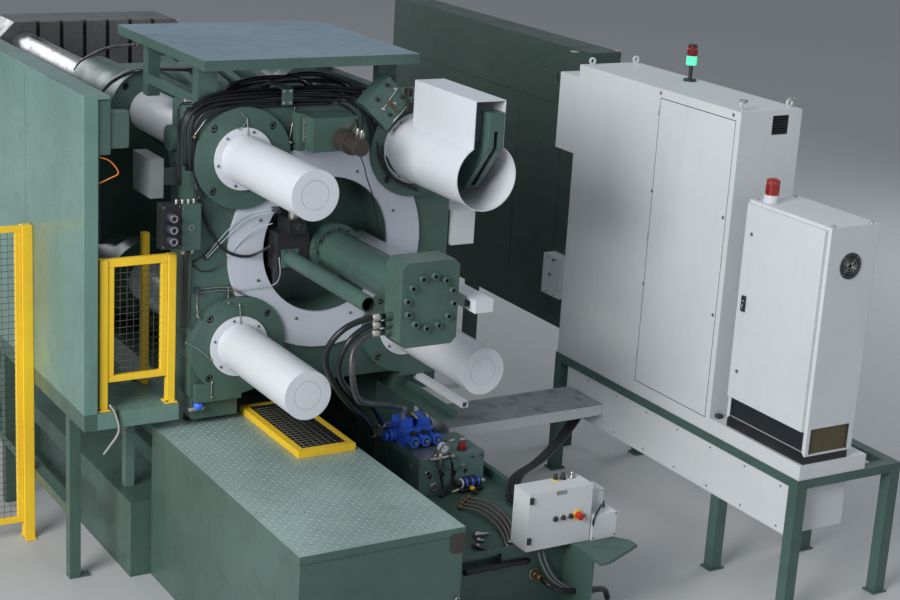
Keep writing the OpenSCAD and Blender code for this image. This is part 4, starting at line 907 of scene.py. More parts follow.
# Small cables, tubes and grease lines of each piece: sheath, radius and route. Lines that lie side by side
# also have the step from one to the next, and the places taken. The routes are typed by hand, mostly in whole
# centimetres, after points that a script worked out from the photograph.
LINES = {
    "platen": [
        (CABLE, 0.011, [(0.37, 0.05, 3.00), (0.05, 0.12, 3.04), (-0.42, 0.12, 3.04), (-0.76, 0.05, 3.04),
            (-0.94, 0.02, 2.98), (-0.98, 0.02, 2.86), (-0.98, 0.02, 2.54)]),
        (CABLE, 0.012, [(0.33, 0.05, 2.98), (-0.05, 0.08, 3.02), (-0.48, 0.07, 3.03), (-0.80, 0.03, 3.02),
            (-0.92, 0.02, 2.95), (-0.95, 0.02, 2.84), (-0.95, 0.02, 2.65)]),
        (CABLE, 0.012, [(0.25, 0.05, 2.98), (-0.20, 0.05, 3.00), (-0.68, 0.03, 3.01), (-0.86, 0.02, 2.96),
            (-0.91, 0.02, 2.90), (-0.92, 0.02, 2.62)]),
        (CABLE, 0.009, [(0.00, 0.03, 2.98), (-0.45, 0.03, 2.98), (-0.78, 0.00, 2.98), (-0.88, 0.02, 2.90),
            (-0.90, 0.02, 2.74), (-0.88, 0.02, 2.54), (-0.88, -0.05, 2.46)]),
        (CABLE, 0.008, [(0.28, 0.06, 3.05), (-0.07, 0.19, 3.05), (-0.48, 0.17, 3.05), (-0.76, 0.05, 3.06),
            (-0.89, 0.03, 3.00), (-0.94, 0.02, 2.90), (-0.94, 0.02, 2.62)]),
        (CABLE, 0.009, [(-0.88, 0.02, 2.54), (-0.82, 0.03, 2.35), (-0.74, 0.03, 2.18), (-0.66, 0.01, 2.10),
            (-0.55, 0.00, 2.07), (-0.47, -0.03, 2.10), (-0.42, -0.08, 2.15)]),
        (CABLE, 0.007, [(-0.92, 0.01, 3.03), (-0.98, 0.01, 3.02), (-1.00, 0.01, 2.95),
            (-0.99, 0.02, 2.54)]),
        (CABLE, 0.011, [(0.16, 0.24, 3.00), (0.16, 0.08, 3.00), (0.21, 0.03, 2.95), (0.29, 0.02, 2.80),
            (0.34, -0.01, 2.62), (0.42, -0.03, 2.50), (0.60, -0.03, 2.41)]),
        (CABLE, 0.009, [(0.12, 0.28, 3.00), (0.19, 0.15, 3.00), (0.24, 0.03, 2.96), (0.32, 0.02, 2.78),
            (0.38, -0.01, 2.62), (0.45, -0.03, 2.53), (0.62, -0.03, 2.44)]),
        (CABLE, 0.007, [(-0.03, 0.12, 3.00), (0.06, 0.03, 2.97), (0.14, 0.02, 2.92), (0.06, -0.20, 2.91),
            (-0.01, -0.345, 2.885)]),
        (CABLE, 0.007, [(0.02, 0.17, 3.00), (0.10, 0.03, 2.99), (0.19, 0.02, 2.93), (0.10, -0.20, 2.92),
            (-0.01, -0.395, 2.885)]),
        (CABLE, 0.004, [(0.00, -0.38, 2.73), (0.10, -0.24, 2.64), (0.22, -0.06, 2.52), (0.29, -0.01, 2.40),
            (0.33, 0.00, 2.27), (0.41, 0.06, 2.09)]),
        (CABLE, 0.013, [(-0.80, 0.10, 3.00), (-0.55, 0.24, 3.02), (-0.20, 0.28, 3.03), (0.10, 0.26, 3.03),
            (0.30, 0.20, 3.01), (0.36, 0.12, 3.00)]),
        (CABLE, 0.013, [(-0.78, 0.14, 3.00), (-0.50, 0.28, 3.05), (-0.15, 0.31, 3.07), (0.12, 0.30, 3.06),
            (0.27, 0.24, 3.02), (0.33, 0.14, 3.00)]),
        (CABLE, 0.015, [(-0.62, 0.31, 3.00), (-0.52, 0.26, 3.08), (-0.30, 0.24, 3.11), (-0.10, 0.27, 3.08),
            (0.02, 0.33, 3.00)]),
        (CABLE, 0.015, [(-0.36, 0.32, 3.00), (-0.24, 0.28, 3.09), (-0.02, 0.25, 3.12), (0.16, 0.24, 3.07),
            (0.24, 0.16, 3.02)]),
        (SPECKLED, 0.012, [(-0.70, 0.22, 3.00), (-0.45, 0.20, 3.06), (-0.22, 0.22, 3.10),
            (-0.05, 0.30, 3.06), (0.08, 0.33, 3.00)]),
        (CABLE, 0.009, [
            (-0.96, 0.00, 2.14), (-0.96, 0.01, 2.00), (-0.95, 0.03, 1.78), (-0.95, 0.03, 1.65)],
            (0.03, 0.0, 0.0), (0, 1)),
    ],
    "moving": [
        (CABLE, 0.012, [(-0.98, 1.40, 2.81), (-0.84, 1.46, 2.90), (-0.66, 1.44, 2.96),
            (-0.48, 1.00, 3.03)]),
    ],
    "bar": [
        (SPECKLED, 0.011, [(-0.72, 2.60, 2.76), (-0.66, 2.60, 2.83), (-0.55, 2.38, 2.95),
            (-0.41, 2.20, 3.00)]),
    ],
    "lube": [
        (ZINC, 0.0035, [(-0.83, -0.006, 2.93), (-0.907, -0.006, 2.83)]),
        (ZINC, 0.0035, [(-0.61, -0.006, 2.95), (-0.57, -0.008, 2.91), (-0.621, -0.018, 2.86)]),
        (ZINC, 0.0035, [(-0.57, -0.008, 2.91), (-0.567, -0.02, 2.812)]),
        (ZINC, 0.0035, [(-0.24, 0.038, 2.97), (-0.25, 0.038, 2.88), (-0.284, 0.014, 2.76)]),
        (ZINC, 0.003, [(-0.84, 0.036, 1.88), (-0.70, 0.036, 1.88), (-0.626, 0.03, 1.87)]),
        (ZINC, 0.003, [(-0.84, 0.036, 1.86), (-0.70, 0.036, 1.86), (-0.612, 0.016, 1.854)]),
        (ZINC, 0.003, [(-0.65, 0.03, 1.87), (-0.65, 0.03, 1.82), (-0.663, -0.006, 1.79)]),
        (ZINC, 0.003, [(-0.85, 0.036, 1.86), (-0.85, 0.036, 1.78), (-0.863, -0.006, 1.724)]),
        (ZINC, 0.003, [(-0.59, -0.006, 1.78), (-0.583, -0.02, 1.653)]),
        (ZINC, 0.003, [(-0.94, -0.006, 1.57), (-0.86, -0.006, 1.52), (-0.771, -0.008, 1.441)]),
        (ZINC, 0.0035, [(-0.76, -0.006, 1.30), (-0.764, -0.006, 1.20)]),
    ],
    "air": [
        (AIR_TUBE, 0.003, [(-0.803, 0.038, 2.079), (-0.66, 0.01, 2.25), (-0.55, 0.00, 2.33),
            (-0.40, -0.06, 2.37)]),
        (AIR_TUBE, 0.003, [(-0.797, 0.038, 2.066), (-0.64, 0.01, 2.23), (-0.53, 0.00, 2.31),
            (-0.40, -0.06, 2.35)]),
        (AIR_TUBE, 0.003, [(-0.64, 0.02, 2.09), (-0.58, 0.01, 2.17), (-0.50, -0.01, 2.24),
            (-0.41, -0.06, 2.28)]),
        (CABLE, 0.003, [(-0.874, 0.038, 2.054), (-0.80, 0.036, 2.10), (-0.72, 0.024, 2.17)]),
        (CABLE, 0.003, [(-0.873, 0.038, 2.029), (-0.82, 0.038, 1.99), (-0.74, 0.034, 2.00),
            (-0.67, 0.01, 2.08)]),
        (AIR_TUBE, 0.003, [(-0.612, 0.012, 1.854), (-0.45, 0.01, 1.86), (-0.36, -0.01, 1.88),
            (-0.36, -0.08, 1.96), (-0.37, -0.08, 2.07)]),
        (CABLE, 0.0025, [(-0.60, 0.014, 1.85), (-0.47, 0.012, 1.78), (-0.35, 0.014, 1.70)]),
    ],
    "tilt": [
        (ZINC, 0.004, [(0.40, -0.075, 3.08), (0.34, -0.075, 3.00)]),
        (ZINC, 0.004, [(0.50, -0.076, 2.99), (0.39, -0.076, 2.88), (0.36, -0.02, 2.80)]),
        (ZINC, 0.003, [(0.27, -0.01, 2.88), (0.29, -0.06, 2.93), (0.33, -0.074, 2.98)]),
        (BRASS, 0.003, [
            (0.33, -0.074, 2.99), (0.40, -0.074, 2.92)],
            (0.013, 0.0, 0.006), (0, 1)),
    ],
    "guard": [
        (ORANGE, 0.004, [(-1.47, 0.04, 2.73), (-1.40, 0.04, 2.70), (-1.35, 0.04, 2.63), (-1.40, 0.04, 2.60),
            (-1.48, 0.04, 2.57)]),
    ],
    "valve": [
        (CABLE, 0.009, [(0.79, -0.30, 0.70), (0.75, -0.40, 0.69), (0.80, -0.34, 0.59), (0.80, -0.34, 0.51),
            (0.76, -0.35, 0.465), (0.68, -0.40, 0.455)]),
        (CABLE, 0.005, [(0.73, -0.29, 0.745), (0.77, -0.25, 0.76), (0.83, -0.19, 0.75)]),
        (CABLE, 0.006, [(0.86, 0.09, 0.80), (0.82, -0.03, 0.78), (0.84, -0.06, 0.73),
            (0.82, -0.12, 0.705)]),
        (PALE, 0.007, [(0.69, 0.05, 0.88), (0.70, -0.02, 0.86)]),
        (PALE, 0.007, [(0.80, 0.05, 0.88), (0.78, -0.02, 0.86)]),
        (PALE, 0.006, [(0.89, -0.13, 0.715), (0.93, -0.13, 0.715)]),
        (PALE, 0.006, [(0.74, -0.45, 0.50), (0.80, -0.43, 0.50)]),
    ],
    "belt": [
        (CABLE, 0.018, [(0.29, -1.358, 0.408), (0.52, -1.358, 0.408), (0.75, -1.356, 0.404)]),
    ],
    "outlet": [
        (HOSE, 0.019, [(0.82, -1.42, 0.29), (0.84, -1.47, 0.27), (0.90, -1.50, 0.24), (1.02, -1.49, 0.21),
            (1.18, -1.45, 0.17), (1.32, -1.38, 0.11), (1.38, -1.34, 0.025)]),
    ],
    "side": [
        (CABLE, 0.007, [(1.27, -1.35, 0.685), (1.20, -1.42, 0.70), (1.15, -1.44, 0.65),
            (1.15, -1.43, 0.565)]),
    ],
    "left": [
        (PALE_CABLE, 0.007, [(-1.40, 0.03, 1.22), (-1.37, 0.01, 1.16), (-1.35, 0.01, 1.05),
            (-1.39, 0.06, 0.94), (-1.41, 0.10, 0.88)]),
        (CABLE, 0.005, [(-1.36, 0.02, 1.20), (-1.35, 0.01, 1.12), (-1.34, 0.03, 1.04)]),
    ],
    "deck": [
        (CLEAR_HOSE, 0.010, [
            (0.76, -0.56, 0.455), (0.82, -0.68, 0.464), (0.82, -0.88, 0.464), (0.78, -1.04, 0.455),
            (0.72, -1.17, 0.453)],
            (0.044, 0.036, 0.0), (-1, 0, 1, 2)),
        (CLEAR_HOSE, 0.009, [
            (0.52, -1.13, 0.455), (0.54, -1.20, 0.455), (0.60, -1.26, 0.455), (0.68, -1.26, 0.455)],
            (0.028, -0.024, 0.0), (-1, 0, 1)),
    ],
    "conduit": [
        (GREY_CABLE, 0.008, [
            (0.79, -1.385, 0.472), (0.82, -1.40, 0.38), (0.88, -1.42, 0.28), (0.99, -1.445, 0.20)],
            (0.042, 0.012, -0.008), (0, 1)),
        (PALE_CABLE, 0.007, [
            (1.04, -1.385, 0.465), (1.06, -1.39, 0.36), (1.11, -1.41, 0.24), (1.18, -1.43, 0.13)],
            (0.034, 0.012, -0.010), (0, 1)),
    ],
    "tray": [
        (CABLE, 0.012, [
            (2.14, 0.23, 0.565), (1.96, 0.09, 0.535), (1.73, -0.09, 0.515), (1.50, -0.26, 0.515),
            (1.24, -0.42, 0.515), (1.10, -0.60, 0.48), (1.09, -0.72, 0.453), (1.09, -0.95, 0.453)],
            (0.028, 0.0, 0.0), (-1, 0, 1, 2)),
    ],
}


def add_wires():
    """Cables, air tubes and grease lines fixed along the machine."""
    for group, lines in LINES.items():
        piece = Piece("lines_" + group)
        for sheath, radius, points, *side_by_side in lines:
            step, places = side_by_side or ((0, 0, 0), (0,))
            for place in places:
                route = [Vector(point) + Vector(step) * place for point in points]
                piece.wire(route, radius, sheath, 10 if radius > 0.006 else 7)
        piece.done()


def gland(piece, seat, axis, radius, material):
    """Hexagon nut with a round sleeve, as at the end of a cable or pipe."""
    nut = [(1.15, 0), (1.15, 0.9), (0, 0.9)]
    sleeve = [(0.85, 0.9), (0.8, 2.2), (0.6, 2.4), (0, 2.4)]
    for profile, sides in ((nut, 6), (sleeve, 16)):
        piece.lathe(seat, axis, [(radius * wide, radius * along) for wide, along in profile], material, sides)


# Where the grease lines end on the tail platen's face, as (x, z), worked out from the photograph by a script
GREASE_NIPPLES = [
    (-0.907, 2.825), (-0.621, 2.86), (-0.567, 2.812), (-0.284, 2.76), (-0.663, 1.79), (-0.863, 1.724),
    (-0.583, 1.653), (-0.771, 1.441), (-0.764, 1.20), (-0.626, 1.87), (-0.612, 1.854)]
# Profile of the crimped end of a hydraulic hose
CRIMP = [(0.018, 0), (0.0235, 0.002), (0.0235, 0.020), (0.0215, 0.022), (0.0225, 0.050), (0.018, 0.052)]


def top_edge_fittings(piece):
    """Bracket, coupler and clip on the top edge of the tail platen."""
    piece.box((-0.348, -0.006, 2.985), (-0.276, 0.0, 3.088), GREEN)
    piece.box((-0.348, -0.006, 3.082), (-0.276, 0.2, 3.088), GREEN)
    for x, z in product((-0.334, -0.290), (2.999, 3.070)):
        piece.hex_bolt((x, -0.006, z), -Y, 0.007, 0.006, ZINC)
    piece.rod((0.245, 0.06, 3.012), (0.325, 0.06, 3.012), 0.030, BLACK, 28)
    for x in (0.236, 0.318):
        piece.rod((x, 0.06, 3.012), (x + 0.018, 0.06, 3.012), 0.033, ZINC, 28)
    piece.box((-0.972, 0.0, 3.0), (-0.915, 0.045, 3.012), GREEN)
    piece.rod((-0.966, 0.018, 3.034), (-0.918, 0.018, 3.034), 0.014, ZINC)


def motor_fittings(piece):
    """Junction block, and the plate, glands and screws by the adjusting motor."""
    piece.box((-0.352, 0.03, 1.85), (-0.313, 0.25, 1.985), GUNMETAL)
    piece.box((-0.230, -0.066, 2.77), (-0.196, -0.060, 2.915), ZINC)
    for z in (2.798, 2.883):
        piece.hex_bolt((-0.213, -0.066, z), -Y, 0.009, 0.010)
    for x, y in ((-0.01, -0.345), (-0.01, -0.395)):
        gland(piece, (x, y, 2.87), Z, 0.012, ZINC)
    for place in circle_points((-0.02, -0.30, 2.785), Y, 0.060, 6, 0.4):
        piece.socket_bolt(place, -Y, 0.005, 0.006)


def tilted_block_fittings(piece):
    """Screws, glands and plugs on the tilted manifold."""
    for x, z in ((0.323, 3.095), (0.432, 3.016), (0.262, 3.008), (0.352, 2.910)):
        piece.socket_bolt((x, -0.070, z), -Y, 0.012, 0.014, BLACK)
    for x, z in ((0.378, 2.982), (0.379, 3.070), (0.30, 2.95)):
        gland(piece, (x, -0.070, z), -Y, 0.010, ZINC)
    piece.box((0.462, -0.095, 2.93), (0.496, -0.045, 2.985), BLACK)
    piece.box((0.460, -0.095, 3.02), (0.496, -0.045, 3.07), BLACK)


def grease_and_air_fittings(piece):
    """Nipples, distributors and tube ends on the tail platen."""
    for x, z in GREASE_NIPPLES:
        piece.rod((x, 0.046, z), (x, -0.020, z), 0.0055, ZINC, 12)
        piece.lathe((x, -0.010, z), -Y, [(0.008, 0), (0.008, 0.008), (0, 0.008)], BRASS, 6)
    piece.box((-0.865, 0.012, 1.850), (-0.838, 0.046, 1.893), GUNMETAL)
    for x, z in ((-0.803, 2.079), (-0.797, 2.066), (-0.874, 2.054), (-0.873, 2.029)):
        piece.rod((x - 0.012, 0.03, z), (x + 0.006, 0.038, z), 0.0055, BLACK, 10)
    piece.box((-0.405, -0.09, 2.345), (-0.372, -0.02, 2.375), GUNMETAL)


def hose_ends(piece):
    """Crimped ends of the clamp hoses."""
    for route in HOSE_ROUTES.values():
        for end, inner in ((route[0], route[1]), (route[-1], route[-2])):
            along = (Vector(inner) - Vector(end)).normalized()
            piece.lathe(Vector(end) + along * 0.032, along, CRIMP, ZINC, 20)


def add_clamp_fittings():
    """Small parts on the tail platen."""
    piece = Piece("clamp_fittings")
    top_edge_fittings(piece)
    motor_fittings(piece)
    tilted_block_fittings(piece)
    grease_and_air_fittings(piece)
    hose_ends(piece)
    piece.done()


def terminal_glands(piece):
    """Cable glands above and below the side terminal box."""
    for x in (-0.968, -0.930, -0.895):
        gland(piece, (x, 0.005, 2.430), Z, 0.010, ZINC)
    for x in (-0.960, -0.904):
        gland(piece, (x, 0.0, 2.150), -Z, 0.013, ZINC)
    gland(piece, (-1.01, -0.005, 2.435), Z, 0.010, ZINC)


def side_valve_knobs(piece):
    """Knobs and screws of the side valve block and the box beside it."""
    for z in (2.225, 2.294, 2.364):
        piece.ring((-1.056, -0.031, z), -Y, 0.033, 0.022, 0.012, NAVY)
        piece.ring((-1.056, -0.0895, z), -Y, 0.0235, 0.015, 0.006, ZINC)
        piece.lathe((-1.056, -0.0895, z), -Y, [(0.015, 0), (0.013, 0.003), (0, 0.004)], NAVY, 20)
    for x, z in product((-1.098, -0.997), (2.18, 2.42)):
        piece.socket_bolt((x, -0.030, z), -Y, 0.007, 0.007)
    piece.ring((-0.925, -0.040, 2.29), -Y, 0.020, 0.012, 0.004, ZINC)
    for z, x in product((2.17, 2.41), (-0.975, -0.876)):
        piece.screw((x, -0.040, z), -Y, 0.006, 0.004)


def air_valve(piece):
    """Small valve with a blue cap at the left of the tail platen."""
    piece.rod((-0.895, 0.03, 1.118), (-0.80, 0.03, 1.118), 0.014, ZINC)
    bulb = [(0.012, 0), (0.026, 0.008), (0.032, 0.026), (0.026, 0.044), (0.010, 0.054), (0, 0.055)]
    piece.lathe((-0.832, 0.03, 1.112), Z, bulb, LIT_BLUE, 24)
    piece.rod((-0.80, 0.03, 1.118), (-0.80, 0.062, 1.118), 0.012, ZINC)


def add_terminal_fittings():
    """Small parts at the left edge of the tail platen."""
    piece = Piece("terminal_fittings")
    terminal_glands(piece)
    side_valve_knobs(piece)
    air_valve(piece)
    piece.done()


# Plane of the manifold's near face
MANIFOLD_FACE = -0.325


def manifold_plugs(piece):
    """Top plate, plugs and screws of the hydraulic manifold."""
    piece.box((0.566, -0.318, 0.694), (0.720, -0.150, 0.700), ZINC)
    hex_plug(piece, (0.623, MANIFOLD_FACE, 0.598), 0.022, 0.020, 0.012, 20)
    cup = [(0.032, 0), (0.030, 0.010), (0.022, 0.012), (0.018, 0.006), (0, 0.006)]
    piece.lathe((0.674, MANIFOLD_FACE, 0.496), -Y, cup, ZINC, 28)
    piece.lathe((0.886, MANIFOLD_FACE, 0.610), -Y, [(0.016, 0), (0.015, 0.006), (0, 0.006)], ZINC, 18)
    for z, columns in ((0.46, (0.49, 0.56, 0.95, 1.02)), (0.67, (0.95, 1.02, 0.49))):
        for x in columns:
            piece.socket_bolt((x, MANIFOLD_FACE, z), -Y, 0.011, 0.010)


def second_valve(piece):
    """Valve across the manifold's near face, with its plug and cable."""
    piece.rod((0.865, -0.360, 0.505), (1.0, -0.360, 0.505), 0.026, NAVY, 28)
    for x in (0.885, 0.93, 0.975):
        piece.ring((x, -0.360, 0.505), X, 0.030, 0.02, 0.012, LIT_BLUE)
    piece.ring((0.862, -0.360, 0.505), -X, 0.033, 0.01, 0.008, WHITE)
    piece.rod((0.852, -0.360, 0.505), (0.815, -0.360, 0.505), 0.022, BLACK, 24)
    piece.rod((1.0, -0.360, 0.505), (1.035, -0.360, 0.495), 0.018, ZINC, 24)
    piece.box((0.885, -0.345, 0.475), (0.98, MANIFOLD_FACE + 0.002, 0.535), NAVY)
    piece.rod((0.845, -0.37, 0.458), (1.02, -0.37, 0.455), 0.013, CABLE)
    piece.box((0.915, -0.405, 0.462), (0.94, -0.375, 0.484), YELLOW)
    piece.rod((0.930, -0.42, 0.441), (0.930, -0.42, 0.470), 0.018, BLACK)


def pressure_lines(piece):
    """Elbows, glands and the drop of the pressure line."""
    gland(piece, (0.697, -0.290, 0.694), Z, 0.018, ZINC)
    piece.rod((0.697, -0.290, 0.730), (0.697, -0.345, 0.722), 0.013, ZINC)
    piece.rod((0.697, -0.345, 0.735), (0.697, -0.345, 0.640), 0.013, ZINC)
    gland(piece, (0.697, -0.345, 0.662), -Z, 0.016, ZINC)
    piece.rod((0.655, -0.345, 0.70), (0.77, -0.345, 0.70), 0.012, ZINC)
    gland(piece, (0.655, -0.345, 0.70), -X, 0.014, ZINC)
    gland(piece, (0.770, -0.345, 0.70), X, 0.014, ZINC)
    drop = [(0.697, -0.345, 0.63), (0.705, -0.35, 0.58), (0.715, -0.365, 0.50), (0.70, -0.38, 0.453)]
    piece.wire(drop, 0.009, CABLE)


def pressure_gauge(piece):
    """Gauge with its dial, marks and needle."""
    gauge = (0.740, -0.316, 0.750)
    piece.ring(gauge, -Y, 0.036, 0.028, 0.006, ZINC)
    piece.lathe(gauge, -Y, [(0.029, 0), (0.029, 0.001), (0, 0.001)], WHITE, 24)
    for k in range(9):
        turn = math.radians(-35 + 31.25 * k)
        spot = Vector(gauge) + Vector((math.cos(turn) * 0.022, -0.0012, math.sin(turn) * 0.022))
        piece.box(spot - Vector((0.0012, 0.0005, 0.0012)), spot + Vector((0.0012, 0.0005, 0.0012)), RECESS_SHADE_AND_MARK_BLACK)
    needle, breadth = Vector((-0.014, 0, 0.016)), Vector((0.002, 0, 0.002))
    piece.block((0.7385, -0.3185, 0.748), needle, -Y * 0.001, breadth, RECESS_SHADE_AND_MARK_BLACK)


def hand_wheel(piece):
    """Ribbed red knob on its black foot, and the pipe end behind it."""
    for place in circle_points((0.912, -0.255, 0.700), Z, 0.026, 12):
        piece.rod(place, place + Z * 0.034, 0.0035, DEEP_RED, 8)
    piece.lathe((0.912, -0.255, 0.740), Z, [(0.022, 0), (0.016, 0.006), (0, 0.007)], DEEP_RED, 24)
    piece.rod((0.912, -0.255, 0.694), (0.912, -0.255, 0.702), 0.033, BLACK, 28)
    piece.rod((0.955, -0.148, 0.716), (1.0, -0.148, 0.716), 0.014, ZINC)


def solenoids(piece):
    """Tube glands, coil ends, plugs and screws of the valve bank."""
    for x in (0.692, 0.801):
        gland(piece, (x, 0.06, 0.854), Z, 0.013, BRASS)
    for x in (0.622, 0.706, 0.790):
        piece.ring((x, -0.1405, 0.744), -Y, 0.037, 0.018, 0.006, LIT_BLUE)
        piece.lathe((x, -0.150, 0.744), -Y, [(0.011, 0), (0.011, 0.012), (0, 0.012)], ZINC, 6)
        piece.box((x - 0.014, -0.125, 0.778), (x + 0.014, -0.085, 0.806), BLACK)
    for x, y in product((0.60, 0.67, 0.73, 0.80), (0.012, 0.108)):
        piece.socket_bolt((x, y, 0.854), Z, 0.007, 0.007)
    for x, y in product((0.583, 0.822), (-0.05, 0.15)):
        piece.socket_bolt((x, y, 0.790), Z, 0.008, 0.008)
    piece.rod((0.490, 0.04, 0.742), (0.515, 0.04, 0.742), 0.030, LIT_BLUE, 24)


def add_valve_fittings():
    """Small parts of the hydraulic manifold and the valve bank."""
    piece = Piece("valve_fittings")
    manifold_plugs(piece)
    second_valve(piece)
    pressure_lines(piece)
    pressure_gauge(piece)
    hand_wheel(piece)
    solenoids(piece)
    piece.done()


def drain_hose_ends(piece):
    """Couplings at both ends of the clear drain hoses."""
    for x, y in ((0.758, -0.557), (0.801, -0.523), (0.844, -0.488), (0.713, -0.607)):
        piece.rod((x, y + 0.012, 0.444), (x, y + 0.012, 0.470), 0.016, BRASS, 16)
        gland(piece, (x, y + 0.03, 0.457), -Y, 0.012, ZINC)
    for x, y in ((0.721, -1.169), (0.762, -1.138), (0.803, -1.108), (0.678, -1.214)):
        gland(piece, (x, y, 0.455), -Y, 0.011, ZINC)


def deck_cones(piece):
    """Bar and tapered couplings on the deck."""
    piece.rod((0.60, -1.20, 0.441), (0.86, -1.13, 0.441), 0.010, GREEN)
    for base, tip, thick in (((0.575, -0.985, 0.452), (0.655, -1.035, 0.462), 0.020),
                             ((0.555, -1.055, 0.450), (0.590, -1.09, 0.452), 0.016),
                             ((0.505, -1.130, 0.450), (0.535, -1.165, 0.452), 0.016)):
        axis = Vector(tip) - Vector(base)
        cone = [(0, 0), (1, 0), (1, 0.35), (0.62, 0.5), (0.55, 1), (0, 1)]
        piece.lathe(base, axis, [(thick * wide, axis.length * along) for wide, along in cone], ZINC, 18)


def add_deck_couplings():
    """Couplings on the base's deck."""
    piece = Piece("deck_couplings")
    drain_hose_ends(piece)
    deck_cones(piece)
    piece.done()


# Plane of the cabinets' doors
CABINET_FACE = 2.293


def large_cabinet_door(piece):
    """Locks and hinges of the large cabinet."""
    for y, z in product((-0.236, -0.988), (1.689, 2.336, 2.996)):
        lock(piece, (CABINET_FACE, y, z), 0.011, 0.006, 0.004)
    for z in (1.15, 2.0, 2.85):
        piece.rod((2.287, -0.226, z), (2.287, -0.226, z + 0.06), 0.006, CABINET, 12)


def side_vent(piece):
    """Slats of the large cabinet's side vent."""
    for k in range(6):
        z = 2.878 + 0.019 * k
        piece.block((2.556, -1.0575, z), X * 0.130, Vector((0, 0.010, -0.006)), Z * 0.003, GUNMETAL)


def cabinet_fan(piece):
    """Fan with its grille and blades."""
    fan_x, fan_z = 2.493, 2.260
    piece.ring((fan_x, -1.9545, fan_z), -Y, 0.082, 0.060, 0.005, GUNMETAL, 36)
    for r in (0.020, 0.034, 0.048):
        piece.ring((fan_x, -1.953, fan_z), -Y, r + 0.0022, r, 0.004, ZINC, 32)
    for k in range(4):
        turn = math.radians(45 + 90 * k)
        side = Vector((math.cos(turn), 0, math.sin(turn)))
        centre = Vector((fan_x, -1.955, fan_z))
        piece.rod(centre + side * 0.012, centre + side * 0.064, 0.002, ZINC, 8)
        piece.screw(centre + side * 0.072 - Y * 0.004, -Y, 0.005, 0.003)
    piece.lathe((fan_x, -1.945, fan_z), -Y, [(0.020, 0), (0.018, 0.006), (0, 0.006)], BLACK, 20)
    for k in range(7):
        turn = 2 * math.pi * k / 7
        a = Vector((math.cos(turn), 0, math.sin(turn)))
        b = Vector((-a.z, 0, a.x))
        corner = Vector((fan_x, -1.942, fan_z)) + a * 0.018 - b * 0.010
        piece.block(corner, a * 0.038, b * 0.022, -Y * 0.003, BLACK)


def small_cabinet_fittings(piece):
    """Window strips and roof bolts of the small cabinet, and a small brown box beside it."""
    for x in (2.350, 2.646):
        piece.box((x, -1.949, 1.078), (x + 0.008, -1.943, 1.228), GUNMETAL)
    for y in (-1.920, -1.236):
        piece.box((2.317, y, 1.085), (2.323, y + 0.008, 1.207), GUNMETAL)
    piece.box((2.335, -1.10, 1.005), (2.375, -1.06, 1.030), BROWN)
    for x, y in product((2.352, 2.656), (-1.925, -1.23)):
        piece.hex_bolt((x, y, 2.505), Z, 0.010, 0.009, ZINC)


def beacon(piece):
    """Ribs and dome of the small cabinet's lamp."""
    beacon_x, beacon_y = 2.393, -1.308
    for k in range(16):
        turn = 2 * math.pi * k / 16
        spot = Vector((beacon_x + 0.0415 * math.cos(turn), beacon_y + 0.0415 * math.sin(turn), 2.560))
        piece.rod(spot, spot + Z * 0.082, 0.0022, RED_LENS, 6)
    dome = [(0.042, 0), (0.034, 0.006), (0.018, 0.010), (0, 0.011)]
    piece.lathe((beacon_x, beacon_y, 2.648), Z, dome, RED_LENS, 28)


def signal_tower(piece):
    """Ribs and cap of the signal tower."""
    tower = Vector((2.686, -0.028, 0))
    for low, lamp in ((3.137, GREEN_LENS), (3.201, DIM_LENS)):
        for k in range(18):
            turn = 2 * math.pi * k / 18
            spot = tower + Vector((0.034 * math.cos(turn), 0.034 * math.sin(turn), low))
            piece.rod(spot, spot + Z * 0.056, 0.0016, lamp, 6)
    piece.lathe(tower + Z * 3.255, Z, [(0.034, 0), (0.034, 0.004), (0.026, 0.013), (0, 0.018)], BLACK, 24)


def cabinet_screws(piece):
    """Lock and screws of the other boxes, eyes on the roof and screws along the plinth."""
    for y, z in product((1.130, 1.240), (1.195, 1.472)):
        piece.screw((2.512, y, z), -X, 0.006, 0.004)
    piece.ring((2.512, 1.209, 1.341), -X, 0.013, 0.007, 0.005, ZINC)
    piece.box((2.508, 1.155, 1.455), (2.5125, 1.187, 1.467), RECESS_SHADE_AND_MARK_BLACK)
    piece.box((2.285, 0.965, 2.86), (2.2935, 0.972, 2.92), RECESS_SHADE_AND_MARK_BLACK)
    for y, z in product((0.955, 1.155), (2.41, 2.915)):
        piece.screw((CABINET_FACE, y, z), -X, 0.006, 0.004)
    for x, y in product((2.353, 2.728), (-1.0, 0.88)):
        piece.ring((x, y, 3.083), Z, 0.030, 0.012, 0.006, ZINC, 24)
    for y in (-1.80, -1.45, -1.10, -0.75, -0.40, -0.05, 0.30):
        piece.screw((CABINET_FACE, y, 0.815), -X, 0.007, 0.004)
        piece.screw((CABINET_FACE, y, 0.548), -X, 0.007, 0.004)


def add_cabinet_details():
    """Small parts of the cabinets."""
    piece = Piece("cabinet_details")
    large_cabinet_door(piece)
    side_vent(piece)
    cabinet_fan(piece)
    small_cabinet_fittings(piece)
    beacon(piece)
    signal_tower(piece)
    cabinet_screws(piece)
    piece.done()


def add_small_door_details():
    """Locks and handle of the small cabinet's door, which ride on it."""
    piece = Piece("small_door_details")
    for z in (1.40, 2.30):
        lock(piece, (CABINET_FACE, -1.278, z), 0.012, 0.006, 0.004)
    piece.lathe((2.277, -1.277, 1.868), -X, [(0.009, 0), (0.008, 0.003), (0, 0.003)], ZINC, 16)
    piece.rod((2.277, -1.277, 1.812), (2.277, -1.277, 1.850), 0.004, ZINC, 10)
    piece.done(body="small_cabinet_door")


